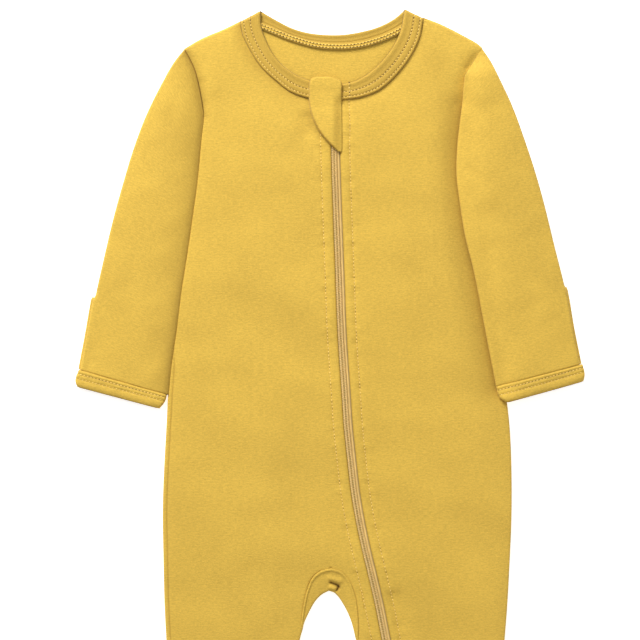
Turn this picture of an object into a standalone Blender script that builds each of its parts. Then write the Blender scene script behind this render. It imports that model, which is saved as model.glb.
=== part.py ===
"""Footed baby sleepsuit with a curved front zip, laid flat on its back.

Each piece of cloth is a wall through rows of points. A row runs across the piece between two
plan lines, and its heights follow the layer that the piece lies in: the back on the floor, the
fronts over it, and a round fold wherever the cloth turns over at a side.
"""

import math
from collections import namedtuple

import bmesh
import bpy
import numpy as np

MM = 0.001
WELD = 0.00001
OBJECT = "baby_sleepsuit"

# Driving dimensions in millimetres. x runs to the wearer's left from the middle of the part,
# down runs from the top of the neckband to the toes, z is the height over the floor.
LENGTH = 641.0
MIDDLE_X = 0.15
MIDDLE_DOWN = 320.83
WALL = 1.2
BAND_WALL = 1.6
TAPE_WALL = 1.0
GUARD_WALL = 2.0
SEAM_GAP = 0.3
FOLD_SEAM_GAP = 0.4
LAYER_STEP = 2.8
PUFF = 1.2
PUFF_REACH = 22.0
SLEEVE_PUFF = 1.2
SLEEVE_PUFF_REACH = 14.0
SLEEVE_PUFF_START = (0.0, 0.3)
SLEEVE_PUFF_END = (0.85, 1.0)
SLEEVE_PUFF_AT_CUFF = 0.3
SLEEVE_STEP_AT_CUFF = 2.2
CUFF_STEP = 3.5

# Heights of the middle of each layer's wall.
BACK_Z = WALL / 2
FRONT_Z = BACK_Z + LAYER_STEP
BAND_FRONT_Z = 4.0
BAND_BACK_Z = BAND_WALL / 2
NECK_TAPE_Z = BAND_WALL + SEAM_GAP + TAPE_WALL / 2
ZIP_TAPE_BELOW_FRONT = WALL / 2 + SEAM_GAP + TAPE_WALL / 2

# A side fold climbs from the back layer to the front layer: a quarter turn, an upright stretch
# and a second quarter turn. A seam at a side lies half way up. Tubes have round folds.
FOLD_RADIUS = 1.0
QUARTER = math.pi / 2 * FOLD_RADIUS
UPRIGHT = LAYER_STEP - 2 * FOLD_RADIUS
FOLD_RUN = 2 * QUARTER + UPRIGHT
EDGE_COLUMNS = 4
EDGE_FLAT = 1.5
TUBE_RADIUS = 1.4

# The levels where one piece ends and the next begins.
YOKE_DOWN = 100.0
CROTCH_DOWN = 419.5
HEEL_DOWN = 545.0
ANKLE_DOWN = 586.0
ARMPIT_FADE = (78.0, 92.0)
INNER_LEG_FADE = (456.0, 476.0)

# On the wearer's right the back wraps over the front by WRAP, between these levels.
WRAP = 2.9
WRAP_RISE = (245.0, 275.0)
WRAP_FADE = (515.0, 540.0)
WRAP_SLIDE_GAP = 0.4

# The zip: how far each folded front edge stands from its middle line, and its parts.
FOLD_TO_RIGHT = 2.5
FOLD_TO_LEFT = 4.8
COIL_RADIUS = 0.85
COIL_HALF_GAP = 0.2
COIL_STEP = 20.0
TAPE_START = 1.0
TAPE_WIDTH = 11.5
TAPE_ROWS = 24
TAPE_COLUMNS = 3
ZIP_TOP_DOWN = 60.0
ZIP_END_DOWN = 582.0
SLIDER_DOWN = 80.0
SLIDER_LENGTH = 8.8
SLIDER_WIDTH = 6.4
SLIDER_NECK_WIDTH = 3.4
SLIDER_PLATE = 1.0
PULL_DOWN = 82.0
PULL_LENGTH = 13.0
PULL_WIDTH = 4.4
PULL_THICK = 0.9
PULL_END_POINTS = 9

# The left sleeve lies over the side of the body. Its lift starts OVERLAP_SIDE[0] outside the
# body's side line, is full at OVERLAP_SIDE[1], and grows down the armhole seam.
OVERLAP_SIDE = (16.0, 3.0)
OVERLAP_DOWN = (37.0, 51.0)
OVERLAP_CLEAR = 0.6
MITT_STEP = WALL + SEAM_GAP
MITT_SHARES = (0.62, 0.78)
MITT_SECTIONS = 3
MITT_OUT = 2.75
MITT_IN = 0.5
MITT_FOLD_TOP = 4.3
MITT_TURNS = (90, 60, 30, 0, -30, -60)
TUBE_TURNS = (45, 0, -45)
BAND_TURNS = (90, 45, 0, -45, -90)
SLEEVE_COLUMNS = 8
ARMHOLE_BOW = 2.6
BOW_FADE = 0.3

# The guard's middle height over the neckband, its room over the coils and over the slider.
GUARD_Z = BAND_FRONT_Z + BAND_WALL / 2 + SEAM_GAP + GUARD_WALL / 2
GUARD_OVER_FRONT = 2.3
GUARD_BUMP = 3.0
GUARD_BUMP_DOWN = 87.0
GUARD_BUMP_SPAN = (8.0, 13.0)

# Columns of the panels, and the shares of the top row where a shoulder meets the neck and where
# the legs part.
FRONT_RIGHT_COLUMNS = (14, 7)
FRONT_RIGHT_CORNER = 0.3
FRONT_RIGHT_SPLIT = 0.833
FRONT_LEFT_COLUMNS = 18
FRONT_LEFT_CORNER = 0.7
BACK_COLUMNS = (15, 12)
BACK_SHOULDER = 0.2
BACK_SPLIT = 0.482
TRIAL_POINTS = 17
CORNER_NEAR = 0.5

# Where the rows of the panels lie: shares of the yoke and of the crotch arch, and levels.
YOKE_SHARES = (0.0, 0.13, 0.27, 0.42, 0.57, 0.72, 0.86)
BODY_DOWNS = (100, 122, 146, 171, 197, 223, 245, 255, 265, 275, 300, 328, 356, 382, 404)
ARCH_SHARES = (0.14, 0.3, 0.5, 0.75, 1.0)
ARCH_SIDE_DOWNS = (423.0, 428.0, 435.0, 446.0, 460.0)
THIGH_DOWNS = (474, 486, 500, 515, 527, 540)
CALF_DOWN = 563.0
BALL_DOWN = 602.0
TOE_TURNS = (0, 22, 42, 56)
TOE_END_TURN = 66
FOOT_MIDDLE_DOWN = 565.0
FOOT_COLUMNS = 11


class Line:
    """A smooth plan line through a table of points with the columns x and down."""

    STEPS = 12
    NEAR = 0.02

    def __init__(self, *table):
        points = np.array(table, dtype=float)
        chords = np.linalg.norm(np.diff(points, axis=0), axis=1)
        slopes = np.gradient(points, np.concatenate(([0.0], np.cumsum(chords))), axis=0)
        dense = []
        for i, chord in enumerate(chords):
            for step in range(self.STEPS):
                t = step / self.STEPS
                dense.append(
                    (2 * t**3 - 3 * t**2 + 1) * points[i]
                    + (t**3 - 2 * t**2 + t) * chord * slopes[i]
                    + (3 * t**2 - 2 * t**3) * points[i + 1]
                    + (t**3 - t**2) * chord * slopes[i + 1]
                )
        self.trace([*dense, points[-1]])

    def trace(self, dense):
        """Keep closely spaced points and their shares of the line's length."""
        self.dense = np.array(dense)
        runs = np.linalg.norm(np.diff(self.dense, axis=0), axis=1)
        self.shares = np.concatenate(([0.0], np.cumsum(runs))) / runs.sum()

    def at(self, share):
        """The point at a share of the line's length."""
        return np.array([np.interp(share, self.shares, self.dense[:, k]) for k in (0, 1)])

    def beside(self, share, distance):
        """The point at a share, moved to the side that lies clockwise of the line's run."""
        run = self.at(min(share + self.NEAR, 1.0)) - self.at(max(share - self.NEAR, 0.0))
        run /= np.linalg.norm(run)
        return self.at(share) + distance * np.array((-run[1], run[0]))

    def x_at(self, down):
        """The line's x at a level, for a line that only runs down."""
        return float(np.interp(down, self.dense[:, 1], self.dense[:, 0]))

    def above(self, down):
        """The stretch of the line above a level, as a function of share."""
        stop = np.interp(down, self.dense[:, 1], self.shares)
        return lambda share: self.at(share * stop)


def joined(first, second):
    """One line along two that meet end to end."""
    line = Line(first.dense[0], second.dense[-1])
    line.trace(np.concatenate((first.dense, second.dense[1:])))
    return line


# Plan lines, each row an x and a down. Right and left are the wearer's.
SHOULDER_RIGHT = Line((-109.5, 30.5), (-95, 22.3), (-80, 16), (-67, 9.5))
SHOULDER_LEFT = Line((70, 7), (82.5, 11.8), (92, 16.5), (103.5, 23), (114, 29.5))
NECK_RIGHT = Line((-67, 9.5), (-65, 20), (-60, 30.5), (-52, 43), (-41, 53.5), (-30, 62),
                  (-16, 67), (0.3, 68.5))
NECK_LEFT = Line((7.6, 68.4), (22.5, 66.5), (37, 61), (49, 50.5), (59, 38), (67, 22), (70, 7))
NECK_BACK = Line((-67, 9.5), (-52, 14.5), (-40, 19.5), (-25, 25), (-9, 29), (3, 30), (22, 28.8),
                 (38, 24.5), (52.5, 18), (70, 7))
BAND_EDGE_RIGHT = Line((-52.5, 1.5), (-52, 14), (-48, 25), (-40.5, 38), (-30, 47.5), (-15, 54.5),
                       (-0.3, 57))
BAND_EDGE_LEFT = Line((8.4, 57), (17, 55.5), (29, 49), (38, 41), (48, 28), (53, 17.5), (56.5, 0.4))
BAND_EDGE_BACK = Line((-52.5, 1.5), (-40.5, 8.5), (-30, 14), (-19.5, 17.5), (-4, 19.5), (9, 19.5),
                      (22.5, 17.5), (38, 13), (49, 7), (56.5, 0.4))
ARMHOLE_RIGHT = Line((-109.5, 30.5), (-105, 38.5), (-101.5, 46.5), (-99, 56.5), (-97, 67), (-95, 80))
ARMHOLE_LEFT = Line((114, 29.5), (111.3, 34), (108, 39.5), (104.6, 45), (101.3, 51), (101.4, 60),
                    (103, 70), (106, 83.5))
SIDE_RIGHT = Line((-95, 80), (-96.5, 95), (-99.5, 128), (-104, 161.5), (-108.5, 192), (-113.3, 221),
                  (-116.2, 245.5), (-119, 263), (-121.2, 285), (-122.8, 313), (-124.3, 340),
                  (-125.6, 376), (-125, 415), (-124.3, 445), (-122.5, 480), (-119.5, 520),
                  (-116.2, 560), (-114, 586))
SIDE_LEFT = Line((106, 83.5), (110.5, 128), (115.5, 161.5), (119.5, 192), (127, 245.5), (131, 280),
                 (134.8, 313), (136.4, 355), (136.2, 385), (134.9, 415), (133.3, 445), (131, 475),
                 (127.5, 510), (123.5, 550), (120, 586))
ARCH_RIGHT = Line((1, 419.5), (-6, 421), (-12.5, 426.2), (-16.8, 435.5), (-19.2, 445), (-20.3, 456))
ARCH_LEFT = Line((1, 419.5), (7.5, 421.3), (12.2, 425.5), (16, 432), (19, 441), (20.6, 452),
                 (21, 467))
OPENING_RIGHT = Line((-1, 437), (-6.5, 440), (-12, 446), (-15.6, 452), (-17.6, 456))
OPENING_LEFT = Line((-1, 437), (3.3, 438.5), (6.8, 442), (10.3, 447.5), (13.7, 454), (16.4, 461),
                    (18.4, 467))
INSEAM_RIGHT = Line((-20.3, 456), (-21.2, 465), (-22.8, 474), (-25.5, 487), (-28.5, 504),
                    (-31.8, 524), (-34.8, 552), (-36.8, 586))
INSEAM_LEFT = Line((21, 467), (20.8, 474), (23.2, 485), (27, 500), (31, 519), (35.5, 549),
                   (38.5, 586))
ZIP_LINE = Line((2.8, 56), (3, 106), (4.4, 150), (6.1, 195), (8, 245), (11, 290), (12.5, 313),
                (15, 337), (18.6, 367), (25.4, 402.5), (30.8, 425), (36, 447.5), (41, 473),
                (47, 503), (53, 534), (58, 563), (61.5, 586))

# Sleeves and cuffs: a row for each section, from its outer fold to its inner one.
Section = namedtuple("Section", "outer_x outer_down inner_x inner_down")
SLEEVE_RIGHT = (
    Section(-109.7, 30.7, -95.4, 80.0),
    Section(-116.0, 38.5, -96.0, 86.0),
    Section(-127.0, 57.5, -97.2, 97.0),
    Section(-138.0, 80.0, -98.5, 112.0),
    Section(-147.5, 105.0, -100.6, 133.0),
    Section(-156.0, 133.0, -103.6, 155.0),
    Section(-163.0, 158.5, -107.5, 182.0),
    Section(-170.0, 188.5, -112.3, 212.0),
    Section(-176.2, 217.0, -116.2, 241.0),
    Section(-181.3, 246.0, -120.0, 267.0),
    Section(-186.0, 270.7, -122.2, 289.7),
)
SLEEVE_LEFT = (
    Section(114.3, 29.6, 101.7, 50.9),
    Section(120.0, 38.5, 100.2, 60.0),
    Section(127.0, 52.5, 99.4, 70.0),
    Section(136.0, 71.5, 97.5, 84.0),
    Section(145.5, 97.0, 95.4, 103.0),
    Section(153.5, 121.0, 94.7, 124.0),
    Section(161.0, 147.5, 97.2, 146.0),
    Section(168.5, 178.5, 101.2, 171.0),
    Section(176.0, 209.0, 107.8, 198.0),
    Section(181.4, 240.0, 115.5, 238.0),
    Section(186.8, 266.8, 124.3, 283.3),
)
CUFF_RIGHT = (
    Section(-189.2, 271.4, -122.9, 290.3),
    Section(-190.7, 277.5, -124.0, 295.0),
    Section(-190.0, 283.2, -127.8, 299.9),
)
CUFF_LEFT = (
    Section(190.2, 267.3, 124.6, 283.9),
    Section(191.0, 273.5, 126.6, 291.0),
    Section(190.2, 279.3, 131.5, 295.3),
)

# Shares across the neckband where its columns lie, from the seam to the free edge.
BAND_ACROSS = (0.0, 0.33, 0.67, 1.0)

# The tape over the back neck's seam: its columns from the body's side, its span and its rows.
NECK_TAPE_ACROSS = (0.4, -1.5, -3.4)
NECK_TAPE_SPAN = (0.1, 0.9)
NECK_TAPE_ROWS = 13

# The leaf-shaped guard over the zip's top: a row for each level.
GuardRow = namedtuple("GuardRow", "down free_x sewn_x")
GUARD = (
    GuardRow(51.8, -9.5, -1.0),
    GuardRow(53.0, -12.8, 3.5),
    GuardRow(56.0, -14.6, 8.3),
    GuardRow(62.0, -14.9, 8.4),
    GuardRow(70.0, -14.8, 8.5),
    GuardRow(77.0, -13.8, 8.6),
    GuardRow(86.0, -10.6, 8.7),
    GuardRow(94.0, -6.0, 8.8),
    GuardRow(101.0, 0.0, 8.8),
    GuardRow(105.5, 4.8, 8.7),
    GuardRow(107.7, 7.2, 8.5),
)
GUARD_COLUMNS = 7

Foot = namedtuple("Foot", "ankle_x toe_x ankle_half ball_half")
FOOT_RIGHT = Foot(-75.4, -79.5, 38.6, 40.0)
FOOT_LEFT = Foot(79.25, 83.5, 40.75, 41.5)

Finish = namedtuple("Finish", "red green blue roughness metallic")
OCHRE = Finish(0.79, 0.52, 0.09, 0.9, 0.0)
OCHRE_RIB = Finish(0.68, 0.43, 0.07, 0.9, 0.0)
TAPE_BUFF = Finish(0.76, 0.53, 0.20, 0.7, 0.0)
COIL_BUFF = Finish(0.80, 0.58, 0.28, 0.5, 0.0)
ENAMEL = Finish(0.70, 0.46, 0.10, 0.4, 0.2)


def smoothstep(value, span):
    """Ease from 0 at the span's start to 1 at its stop."""
    share = min(max((value - span[0]) / (span[1] - span[0]), 0.0), 1.0)
    return share * share * (3.0 - 2.0 * share)


def straight(start, stop):
    """A straight row between two plan points, as a function of share."""
    start, stop = np.array(start, dtype=float), np.array(stop, dtype=float)
    return lambda share: start + share * (stop - start)


def patch(top, bottom, side_a, side_b):
    """A smooth patch between four plan lines, as a function of share across and share down."""
    def point(across, along):
        corners = (
            (1 - across) * (1 - along) * top(0.0) + across * (1 - along) * top(1.0)
            + (1 - across) * along * bottom(0.0) + across * along * bottom(1.0)
        )
        return (
            (1 - along) * top(across) + along * bottom(across)
            + (1 - across) * side_a(along) + across * side_b(along) - corners
        )
    return point


# ---------------------------------------------------------------- heights of the layers


def foot_ends(foot, turn):
    """The two side points of a foot's round toe, at a turn in degrees past the ball."""
    down = BALL_DOWN + (LENGTH - BALL_DOWN) * math.sin(math.radians(turn))
    middle = foot.ankle_x + (foot.toe_x - foot.ankle_x) * (down - ANKLE_DOWN) / (LENGTH - ANKLE_DOWN)
    half = foot.ball_half * math.cos(math.radians(turn))
    return (middle - half, down), (middle + half, down)


OUTLINE = np.concatenate([
    line.dense for line in (
        SHOULDER_RIGHT, SHOULDER_LEFT, NECK_RIGHT, NECK_LEFT, ARMHOLE_RIGHT, ARMHOLE_LEFT,
        SIDE_RIGHT, SIDE_LEFT, OPENING_RIGHT, OPENING_LEFT, INSEAM_RIGHT, INSEAM_LEFT,
    )
] + [foot_ends(foot, turn) for foot in (FOOT_RIGHT, FOOT_LEFT) for turn in (*TOE_TURNS, TOE_END_TURN)])
BODY_SIDE_LEFT = joined(ARMHOLE_LEFT, SIDE_LEFT)


def front_height(x, down):
    """Height of the middle of the front layer: low at the folds and softly filled inside."""
    away = np.hypot(OUTLINE[:, 0] - x, OUTLINE[:, 1] - down).min()
    return FRONT_Z + PUFF * (1.0 - math.exp(-((away / PUFF_REACH) ** 2)))


def back_height(x, down):
    """Height of the middle of the back layer, flat on the floor."""
    return BACK_Z


def lower_height_left(x, down):
    """Height of the middle of the left sleeve's under side, which lies partly on the body."""
    outside = x - BODY_SIDE_LEFT.x_at(down)
    over = smoothstep(-outside, (-OVERLAP_SIDE[0], -OVERLAP_SIDE[1]))
    over *= smoothstep(down, OVERLAP_DOWN)
    return BACK_Z + over * (front_height(x, down) + WALL + OVERLAP_CLEAR - BACK_Z)


# ---------------------------------------------------------------- folds and rows


def fold_path(run):
    """Follow a side fold from the flat back, at a run of 0, round to the front.

    Returns how far in the wall's middle lies from its outermost point, and how much of the step
    between the layers it has climbed.
    """
    upright = min(max(run - QUARTER, 0.0), UPRIGHT)
    turn = min(max(run - upright, 0.0), 2 * QUARTER) / FOLD_RADIUS
    inward = FOLD_RADIUS * (1.0 - math.sin(turn)) + max(run - FOLD_RUN, 0.0)
    return inward, (FOLD_RADIUS * (1.0 - math.cos(turn)) + upright) / LAYER_STEP


def edge_columns(runs, folded, layer_share):
    """Columns beside an edge as (inward, rise), from the edge to the flat of the piece.

    Args:
        runs: where the columns lie round the fold, from the piece's edge to its flat.
        folded: 0 where the edge butts flat against a seam, 1 where it follows the fold.
        layer_share: 0 for the back layer and 1 for the front layer.
    """
    columns = []
    for column, run in enumerate(runs):
        inward, climbed = fold_path(run)
        butt = SEAM_GAP / 2 + (FOLD_RADIUS + WALL / 2) * column / (len(runs) - 1)
        rise = folded * (climbed - layer_share) * LAYER_STEP
        columns.append((butt + folded * (inward + WALL / 2 - butt), rise))
    return columns


def seam_run(wrap):
    """Where the side seam lies round the fold, and half the gap between its two pieces."""
    share = wrap / WRAP
    slide = 4.0 * share * (1.0 - share)
    run = FOLD_RUN / 2 + share * (FOLD_RUN / 2 + WRAP - FOLD_RADIUS)
    return run, (FOLD_SEAM_GAP + (SEAM_GAP - FOLD_SEAM_GAP) * share + WRAP_SLIDE_GAP * slide) / 2


def front_edge(folded, wrap=0.0):
    """Columns beside a front's edge, which the back may wrap over."""
    run, gap = seam_run(wrap)
    start = run + gap
    stop = max(FOLD_RUN, start + EDGE_FLAT)
    return edge_columns(np.linspace(start, stop, EDGE_COLUMNS), folded, 1.0)


def back_edge(folded):
    """Columns beside the back's edge."""
    run, gap = seam_run(0.0)
    return edge_columns(np.linspace(run - gap, 0.0, EDGE_COLUMNS), folded, 0.0)


def back_wrap(folded, wrap):
    """Columns beside the back's edge on the side where it wraps over the front."""
    full_run, _ = seam_run(WRAP)
    run, gap = seam_run(wrap)
    bends = np.array((full_run, FOLD_RUN, FOLD_RUN - QUARTER / 2, FOLD_RUN - QUARTER, QUARTER,
                      QUARTER / 2, 0.0))
    return edge_columns(bends * (run - gap) / full_run, folded, 0.0)


BUTT = [(SEAM_GAP / 2, 0.0)]


def wrap_at(down):
    """How far the back wraps over the front on the wearer's right side."""
    return WRAP * smoothstep(down, WRAP_RISE) * (1.0 - smoothstep(down, WRAP_FADE))


def row_of(curve, count, edge_a, edge_b, crowd_a=1.0, crowd_b=1.0):
    """Place the columns of one row, as (x, down, rise).

    Args:
        curve: a function from a share of the row to its plan point.
        count: number of columns.
        edge_a, edge_b: (inward, rise) of the columns beside each end.
        crowd_a, crowd_b: 1 where those columns keep their places, 0 where they spread evenly.
    """
    trial = np.array([curve(share) for share in np.linspace(0.0, 1.0, TRIAL_POINTS)])
    length = np.linalg.norm(np.diff(trial, axis=0), axis=1).sum()
    between = count - len(edge_a) - len(edge_b) + 2
    crowded = np.concatenate((
        [inward for inward, _ in edge_a[:-1]],
        np.linspace(edge_a[-1][0], length - edge_b[-1][0], between),
        [length - inward for inward, _ in reversed(edge_b[:-1])],
    ))
    even = np.linspace(0.0, length, count)
    ends = (len(edge_a) - 1, count - len(edge_b))
    places = even + np.interp(range(count), ends, (crowd_a, crowd_b)) * (crowded - even)
    rises = np.zeros(count)
    rises[:len(edge_a)] += [rise * crowd_a for _, rise in edge_a]
    rises[count - len(edge_b):] += [rise * crowd_b for _, rise in reversed(edge_b)]
    return [(*curve(place / length), rise) for place, rise in zip(places, rises)]


def turned_end(rows, edges):
    """Replace a grid's first row by the rows of its end edge, given for each column."""
    first, second = rows[0], rows[1]
    turned = []
    for step in range(len(edges[0])):
        row = []
        for column, (x, down, rise) in enumerate(first):
            start = np.array((x, down))
            toward = np.array(second[column][:2]) - start
            inward, end_rise = edges[column][step]
            plan = start + toward * inward / np.linalg.norm(toward)
            row.append((*plan, end_rise if abs(end_rise) > abs(rise) else rise))
        turned.append(row)
    return turned + rows[1:]


def with_corner(rows, corner):
    """Move the point of a grid's first row that lies nearest to a corner onto the corner."""
    nearest = min(range(len(rows[0])), key=lambda column: math.dist(rows[0][column][:2], corner))
    rows[0][nearest] = (*corner, rows[0][nearest][2])
    return rows


def turned_top(rows, edge, corners):
    """Fold a grid's first row down along the shoulders, which lie outside the neck's corners."""
    edges = [edge(float(not corners[0] <= x <= corners[1])) for x, _, _ in rows[0]]
    return turned_end(rows, edges)


def on_layer(rows, height):
    """Turn (x, down, rise) rows into (x, down, z) rows on a layer."""
    return [[(x, down, height(x, down) + rise) for x, down, rise in row] for row in rows]


# ---------------------------------------------------------------- front and back panels


def side_fold(down):
    """0 along the armhole seam and 1 along the side fold below it."""
    return smoothstep(down, ARMPIT_FADE)


def inner_fold(down):
    """0 along the crotch arch and 1 along the inner leg below it."""
    return smoothstep(down, INNER_LEG_FADE)


def fold_beside_zip(offset, down):
    """The plan point of a folded front edge beside the zip."""
    return (ZIP_LINE.x_at(down) + offset, down)


def yoke(top, side_a, side_b):
    """Curves of the rows from the shoulders and neck down to the chest."""
    surface = patch(top, straight(side_a(1.0), side_b(1.0)), side_a, side_b)
    return [lambda share, along=along: surface(share, along) for along in YOKE_SHARES]


def part_of(curve, start, stop):
    """A stretch of a row's curve."""
    return lambda share: curve(start + share * (stop - start))


def front_right():
    """The right front: one width down to the crotch, then its leg and the strip by the zip."""
    corner, split = FRONT_RIGHT_CORNER, FRONT_RIGHT_SPLIT
    leg_count, strip_count = FRONT_RIGHT_COLUMNS

    def top(share):
        if share < corner:
            return SHOULDER_RIGHT.at(share / corner)
        return NECK_RIGHT.at((share - corner) / (1.0 - corner))

    outer = joined(ARMHOLE_RIGHT, SIDE_RIGHT).above(YOKE_DOWN)
    zip_edge = Line(*[fold_beside_zip(-FOLD_TO_RIGHT, down) for down in (68.5, YOKE_DOWN)])
    curves = yoke(top, outer, zip_edge.at)
    levels = [outer(share)[1] for share in YOKE_SHARES]
    for down in BODY_DOWNS:
        side = (SIDE_RIGHT.x_at(down), down)
        curves.append(straight(side, fold_beside_zip(-FOLD_TO_RIGHT, down)))
        levels.append(down)
    leg, strip = [], []
    for curve, level in zip(curves, levels):
        edge = front_edge(side_fold(level), wrap_at(level))
        leg.append(row_of(part_of(curve, 0.0, split), leg_count, edge, front_edge(0.0), 1.0, 0.0))
        strip.append(row_of(part_of(curve, split, 1.0), strip_count, front_edge(0.0), BUTT, 0.0))

    apex = (ARCH_RIGHT.at(0.0)[0], CROTCH_DOWN - SEAM_GAP)
    inner_points = [(apex, apex, CROTCH_DOWN, 0.0)]
    for share, down in zip(ARCH_SHARES, ARCH_SIDE_DOWNS):
        right, left = ARCH_RIGHT.beside(share, SEAM_GAP), ARCH_LEFT.beside(share, -SEAM_GAP)
        inner_points.append((right, left, down, share))
    for down in (*THIGH_DOWNS, CALF_DOWN, ANKLE_DOWN - SEAM_GAP / 2):
        right, left = (INSEAM_RIGHT.x_at(down), down), (INSEAM_LEFT.x_at(down), down)
        inner_points.append((right, left, down, 1.0))
    for right, left, down, crowd in inner_points:
        folded = inner_fold(down)
        inner_edge = front_edge(folded) if folded else [(0.0, 0.0), *front_edge(0.0)[1:]]
        side = (SIDE_RIGHT.x_at(down), down)
        edge = front_edge(side_fold(down), wrap_at(down))
        leg.append(row_of(straight(side, right), leg_count, edge, inner_edge, 1.0, crowd))
        zip_point = fold_beside_zip(-FOLD_TO_RIGHT, left[1])
        strip.append(row_of(straight(left, zip_point), strip_count, inner_edge, BUTT, crowd))

    neck = (NECK_RIGHT.at(0.0)[0], NECK_RIGHT.at(1.0)[0])
    leg = turned_top(with_corner(leg, NECK_RIGHT.at(0.0)), front_edge, neck)
    strip = turned_top(strip, front_edge, neck)
    return [on_layer(leg, front_height), on_layer(strip, front_height)]


def front_left():
    """The left front, from the zip's folded edge to the side, with its leg."""
    corner, count = FRONT_LEFT_CORNER, FRONT_LEFT_COLUMNS

    def top(share):
        if share < corner:
            return NECK_LEFT.at(share / corner)
        return SHOULDER_LEFT.at((share - corner) / (1.0 - corner))

    outer = BODY_SIDE_LEFT.above(YOKE_DOWN)
    zip_edge = Line(*[fold_beside_zip(FOLD_TO_LEFT, down) for down in (68.4, YOKE_DOWN)])
    rows = []
    for curve, share in zip(yoke(top, zip_edge.at, outer), YOKE_SHARES):
        rows.append(row_of(curve, count, BUTT, front_edge(side_fold(outer(share)[1]))))
    leg_downs = (CROTCH_DOWN, *ARCH_SIDE_DOWNS, *THIGH_DOWNS, CALF_DOWN, ANKLE_DOWN - SEAM_GAP / 2)
    for down in (*BODY_DOWNS, *leg_downs):
        side = (SIDE_LEFT.x_at(down), down)
        curve = straight(fold_beside_zip(FOLD_TO_LEFT, down), side)
        rows.append(row_of(curve, count, BUTT, front_edge(side_fold(down))))
    neck = (NECK_LEFT.at(0.0)[0], NECK_LEFT.at(1.0)[0])
    rows = turned_top(with_corner(rows, NECK_LEFT.at(1.0)), front_edge, neck)
    return [on_layer(rows, front_height)]


def back():
    """The back with both legs: two halves that share the middle column down to the crotch."""
    split, shoulder = BACK_SPLIT, BACK_SHOULDER
    right_count, left_count = BACK_COLUMNS

    def top(share):
        if share < shoulder:
            return SHOULDER_RIGHT.at(share / shoulder)
        if share > 1.0 - shoulder:
            return SHOULDER_LEFT.at((share - 1.0 + shoulder) / shoulder)
        return NECK_BACK.at((share - shoulder) / (1.0 - 2.0 * shoulder))

    right_side = joined(ARMHOLE_RIGHT, SIDE_RIGHT).above(YOKE_DOWN)
    left_side = BODY_SIDE_LEFT.above(YOKE_DOWN)
    curves = yoke(top, right_side, left_side)
    levels = [(right_side(share)[1], left_side(share)[1]) for share in YOKE_SHARES]
    for down in BODY_DOWNS:
        curves.append(straight((SIDE_RIGHT.x_at(down), down), (SIDE_LEFT.x_at(down), down)))
        levels.append((down, down))
    right, left = [], []
    flat = back_edge(0.0)
    for curve, (right_down, left_down) in zip(curves, levels):
        edge = back_wrap(side_fold(right_down), wrap_at(right_down))
        right.append(row_of(part_of(curve, 0.0, split), right_count, edge, flat, 1.0, 0.0))
        edge = back_edge(side_fold(left_down))
        left.append(row_of(part_of(curve, split, 1.0), left_count, flat, edge, 0.0, 1.0))

    apex = (ARCH_RIGHT.at(0.0)[0], CROTCH_DOWN - SEAM_GAP)
    inner_points = [(apex, apex, CROTCH_DOWN, 0.0)]
    for share, down in zip(ARCH_SHARES, ARCH_SIDE_DOWNS):
        inner_points.append((ARCH_RIGHT.beside(share, SEAM_GAP),
                             ARCH_LEFT.beside(share, -SEAM_GAP), down, share))
    for down in (*THIGH_DOWNS, HEEL_DOWN - SEAM_GAP / 2):
        inner_points.append(((INSEAM_RIGHT.x_at(down), down), (INSEAM_LEFT.x_at(down), down),
                             down, 1.0))
    for right_point, left_point, down, crowd in inner_points:
        folded = inner_fold(down)
        inner_edge = back_edge(folded) if folded else [(0.0, 0.0), *flat[1:]]
        edge = back_wrap(side_fold(down), wrap_at(down))
        side = (SIDE_RIGHT.x_at(down), down)
        right.append(row_of(straight(side, right_point), right_count, edge, inner_edge, 1.0, crowd))
        side = (SIDE_LEFT.x_at(down), down)
        edge = back_edge(side_fold(down))
        left.append(row_of(straight(left_point, side), left_count, inner_edge, edge, crowd, 1.0))

    corners = (NECK_BACK.at(0.0), NECK_BACK.at(1.0))
    neck = (corners[0][0], corners[1][0])
    return [on_layer(turned_top(with_corner(rows, corner), back_edge, neck), back_height)
            for rows, corner in zip((right, left), corners)]


# ---------------------------------------------------------------- gusset and feet


def gusset():
    """The crotch piece: a front crescent, the fold of the leg opening and a back crescent."""
    bends = (FOLD_RUN, FOLD_RUN - QUARTER / 2, FOLD_RUN - QUARTER, QUARTER, QUARTER / 2, 0.0)
    arms = [(ARCH_RIGHT, OPENING_RIGHT, share) for share in reversed(ARCH_SHARES)]
    arms += [(ARCH_LEFT, OPENING_LEFT, share) for share in (0.0, *ARCH_SHARES)]
    rows = []
    for arch, opening, share in arms:
        seam, edge = arch.at(share), opening.at(share)
        width = np.linalg.norm(edge - seam)
        plan = straight(seam, edge)
        flat = width - WALL / 2 - FOLD_RADIUS
        front = [(0.0, 1.0), (flat / 2, 1.0)]
        turned = [(width - WALL / 2 - inward, climbed) for inward, climbed in map(fold_path, bends)]
        under = [(flat / 2, 0.0), (0.0, 0.0)]
        row = []
        for place, climbed in (*front, *turned, *under):
            x, down = plan(place / width)
            row.append((x, down, BACK_Z + climbed * (front_height(x, down) - BACK_Z)))
        rows.append(row)
    return [rows]


def slanted(edge, turn):
    """Columns beside an edge that a row meets at a turn in degrees from square."""
    return [(inward / math.cos(math.radians(turn)), rise) for inward, rise in edge]


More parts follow.
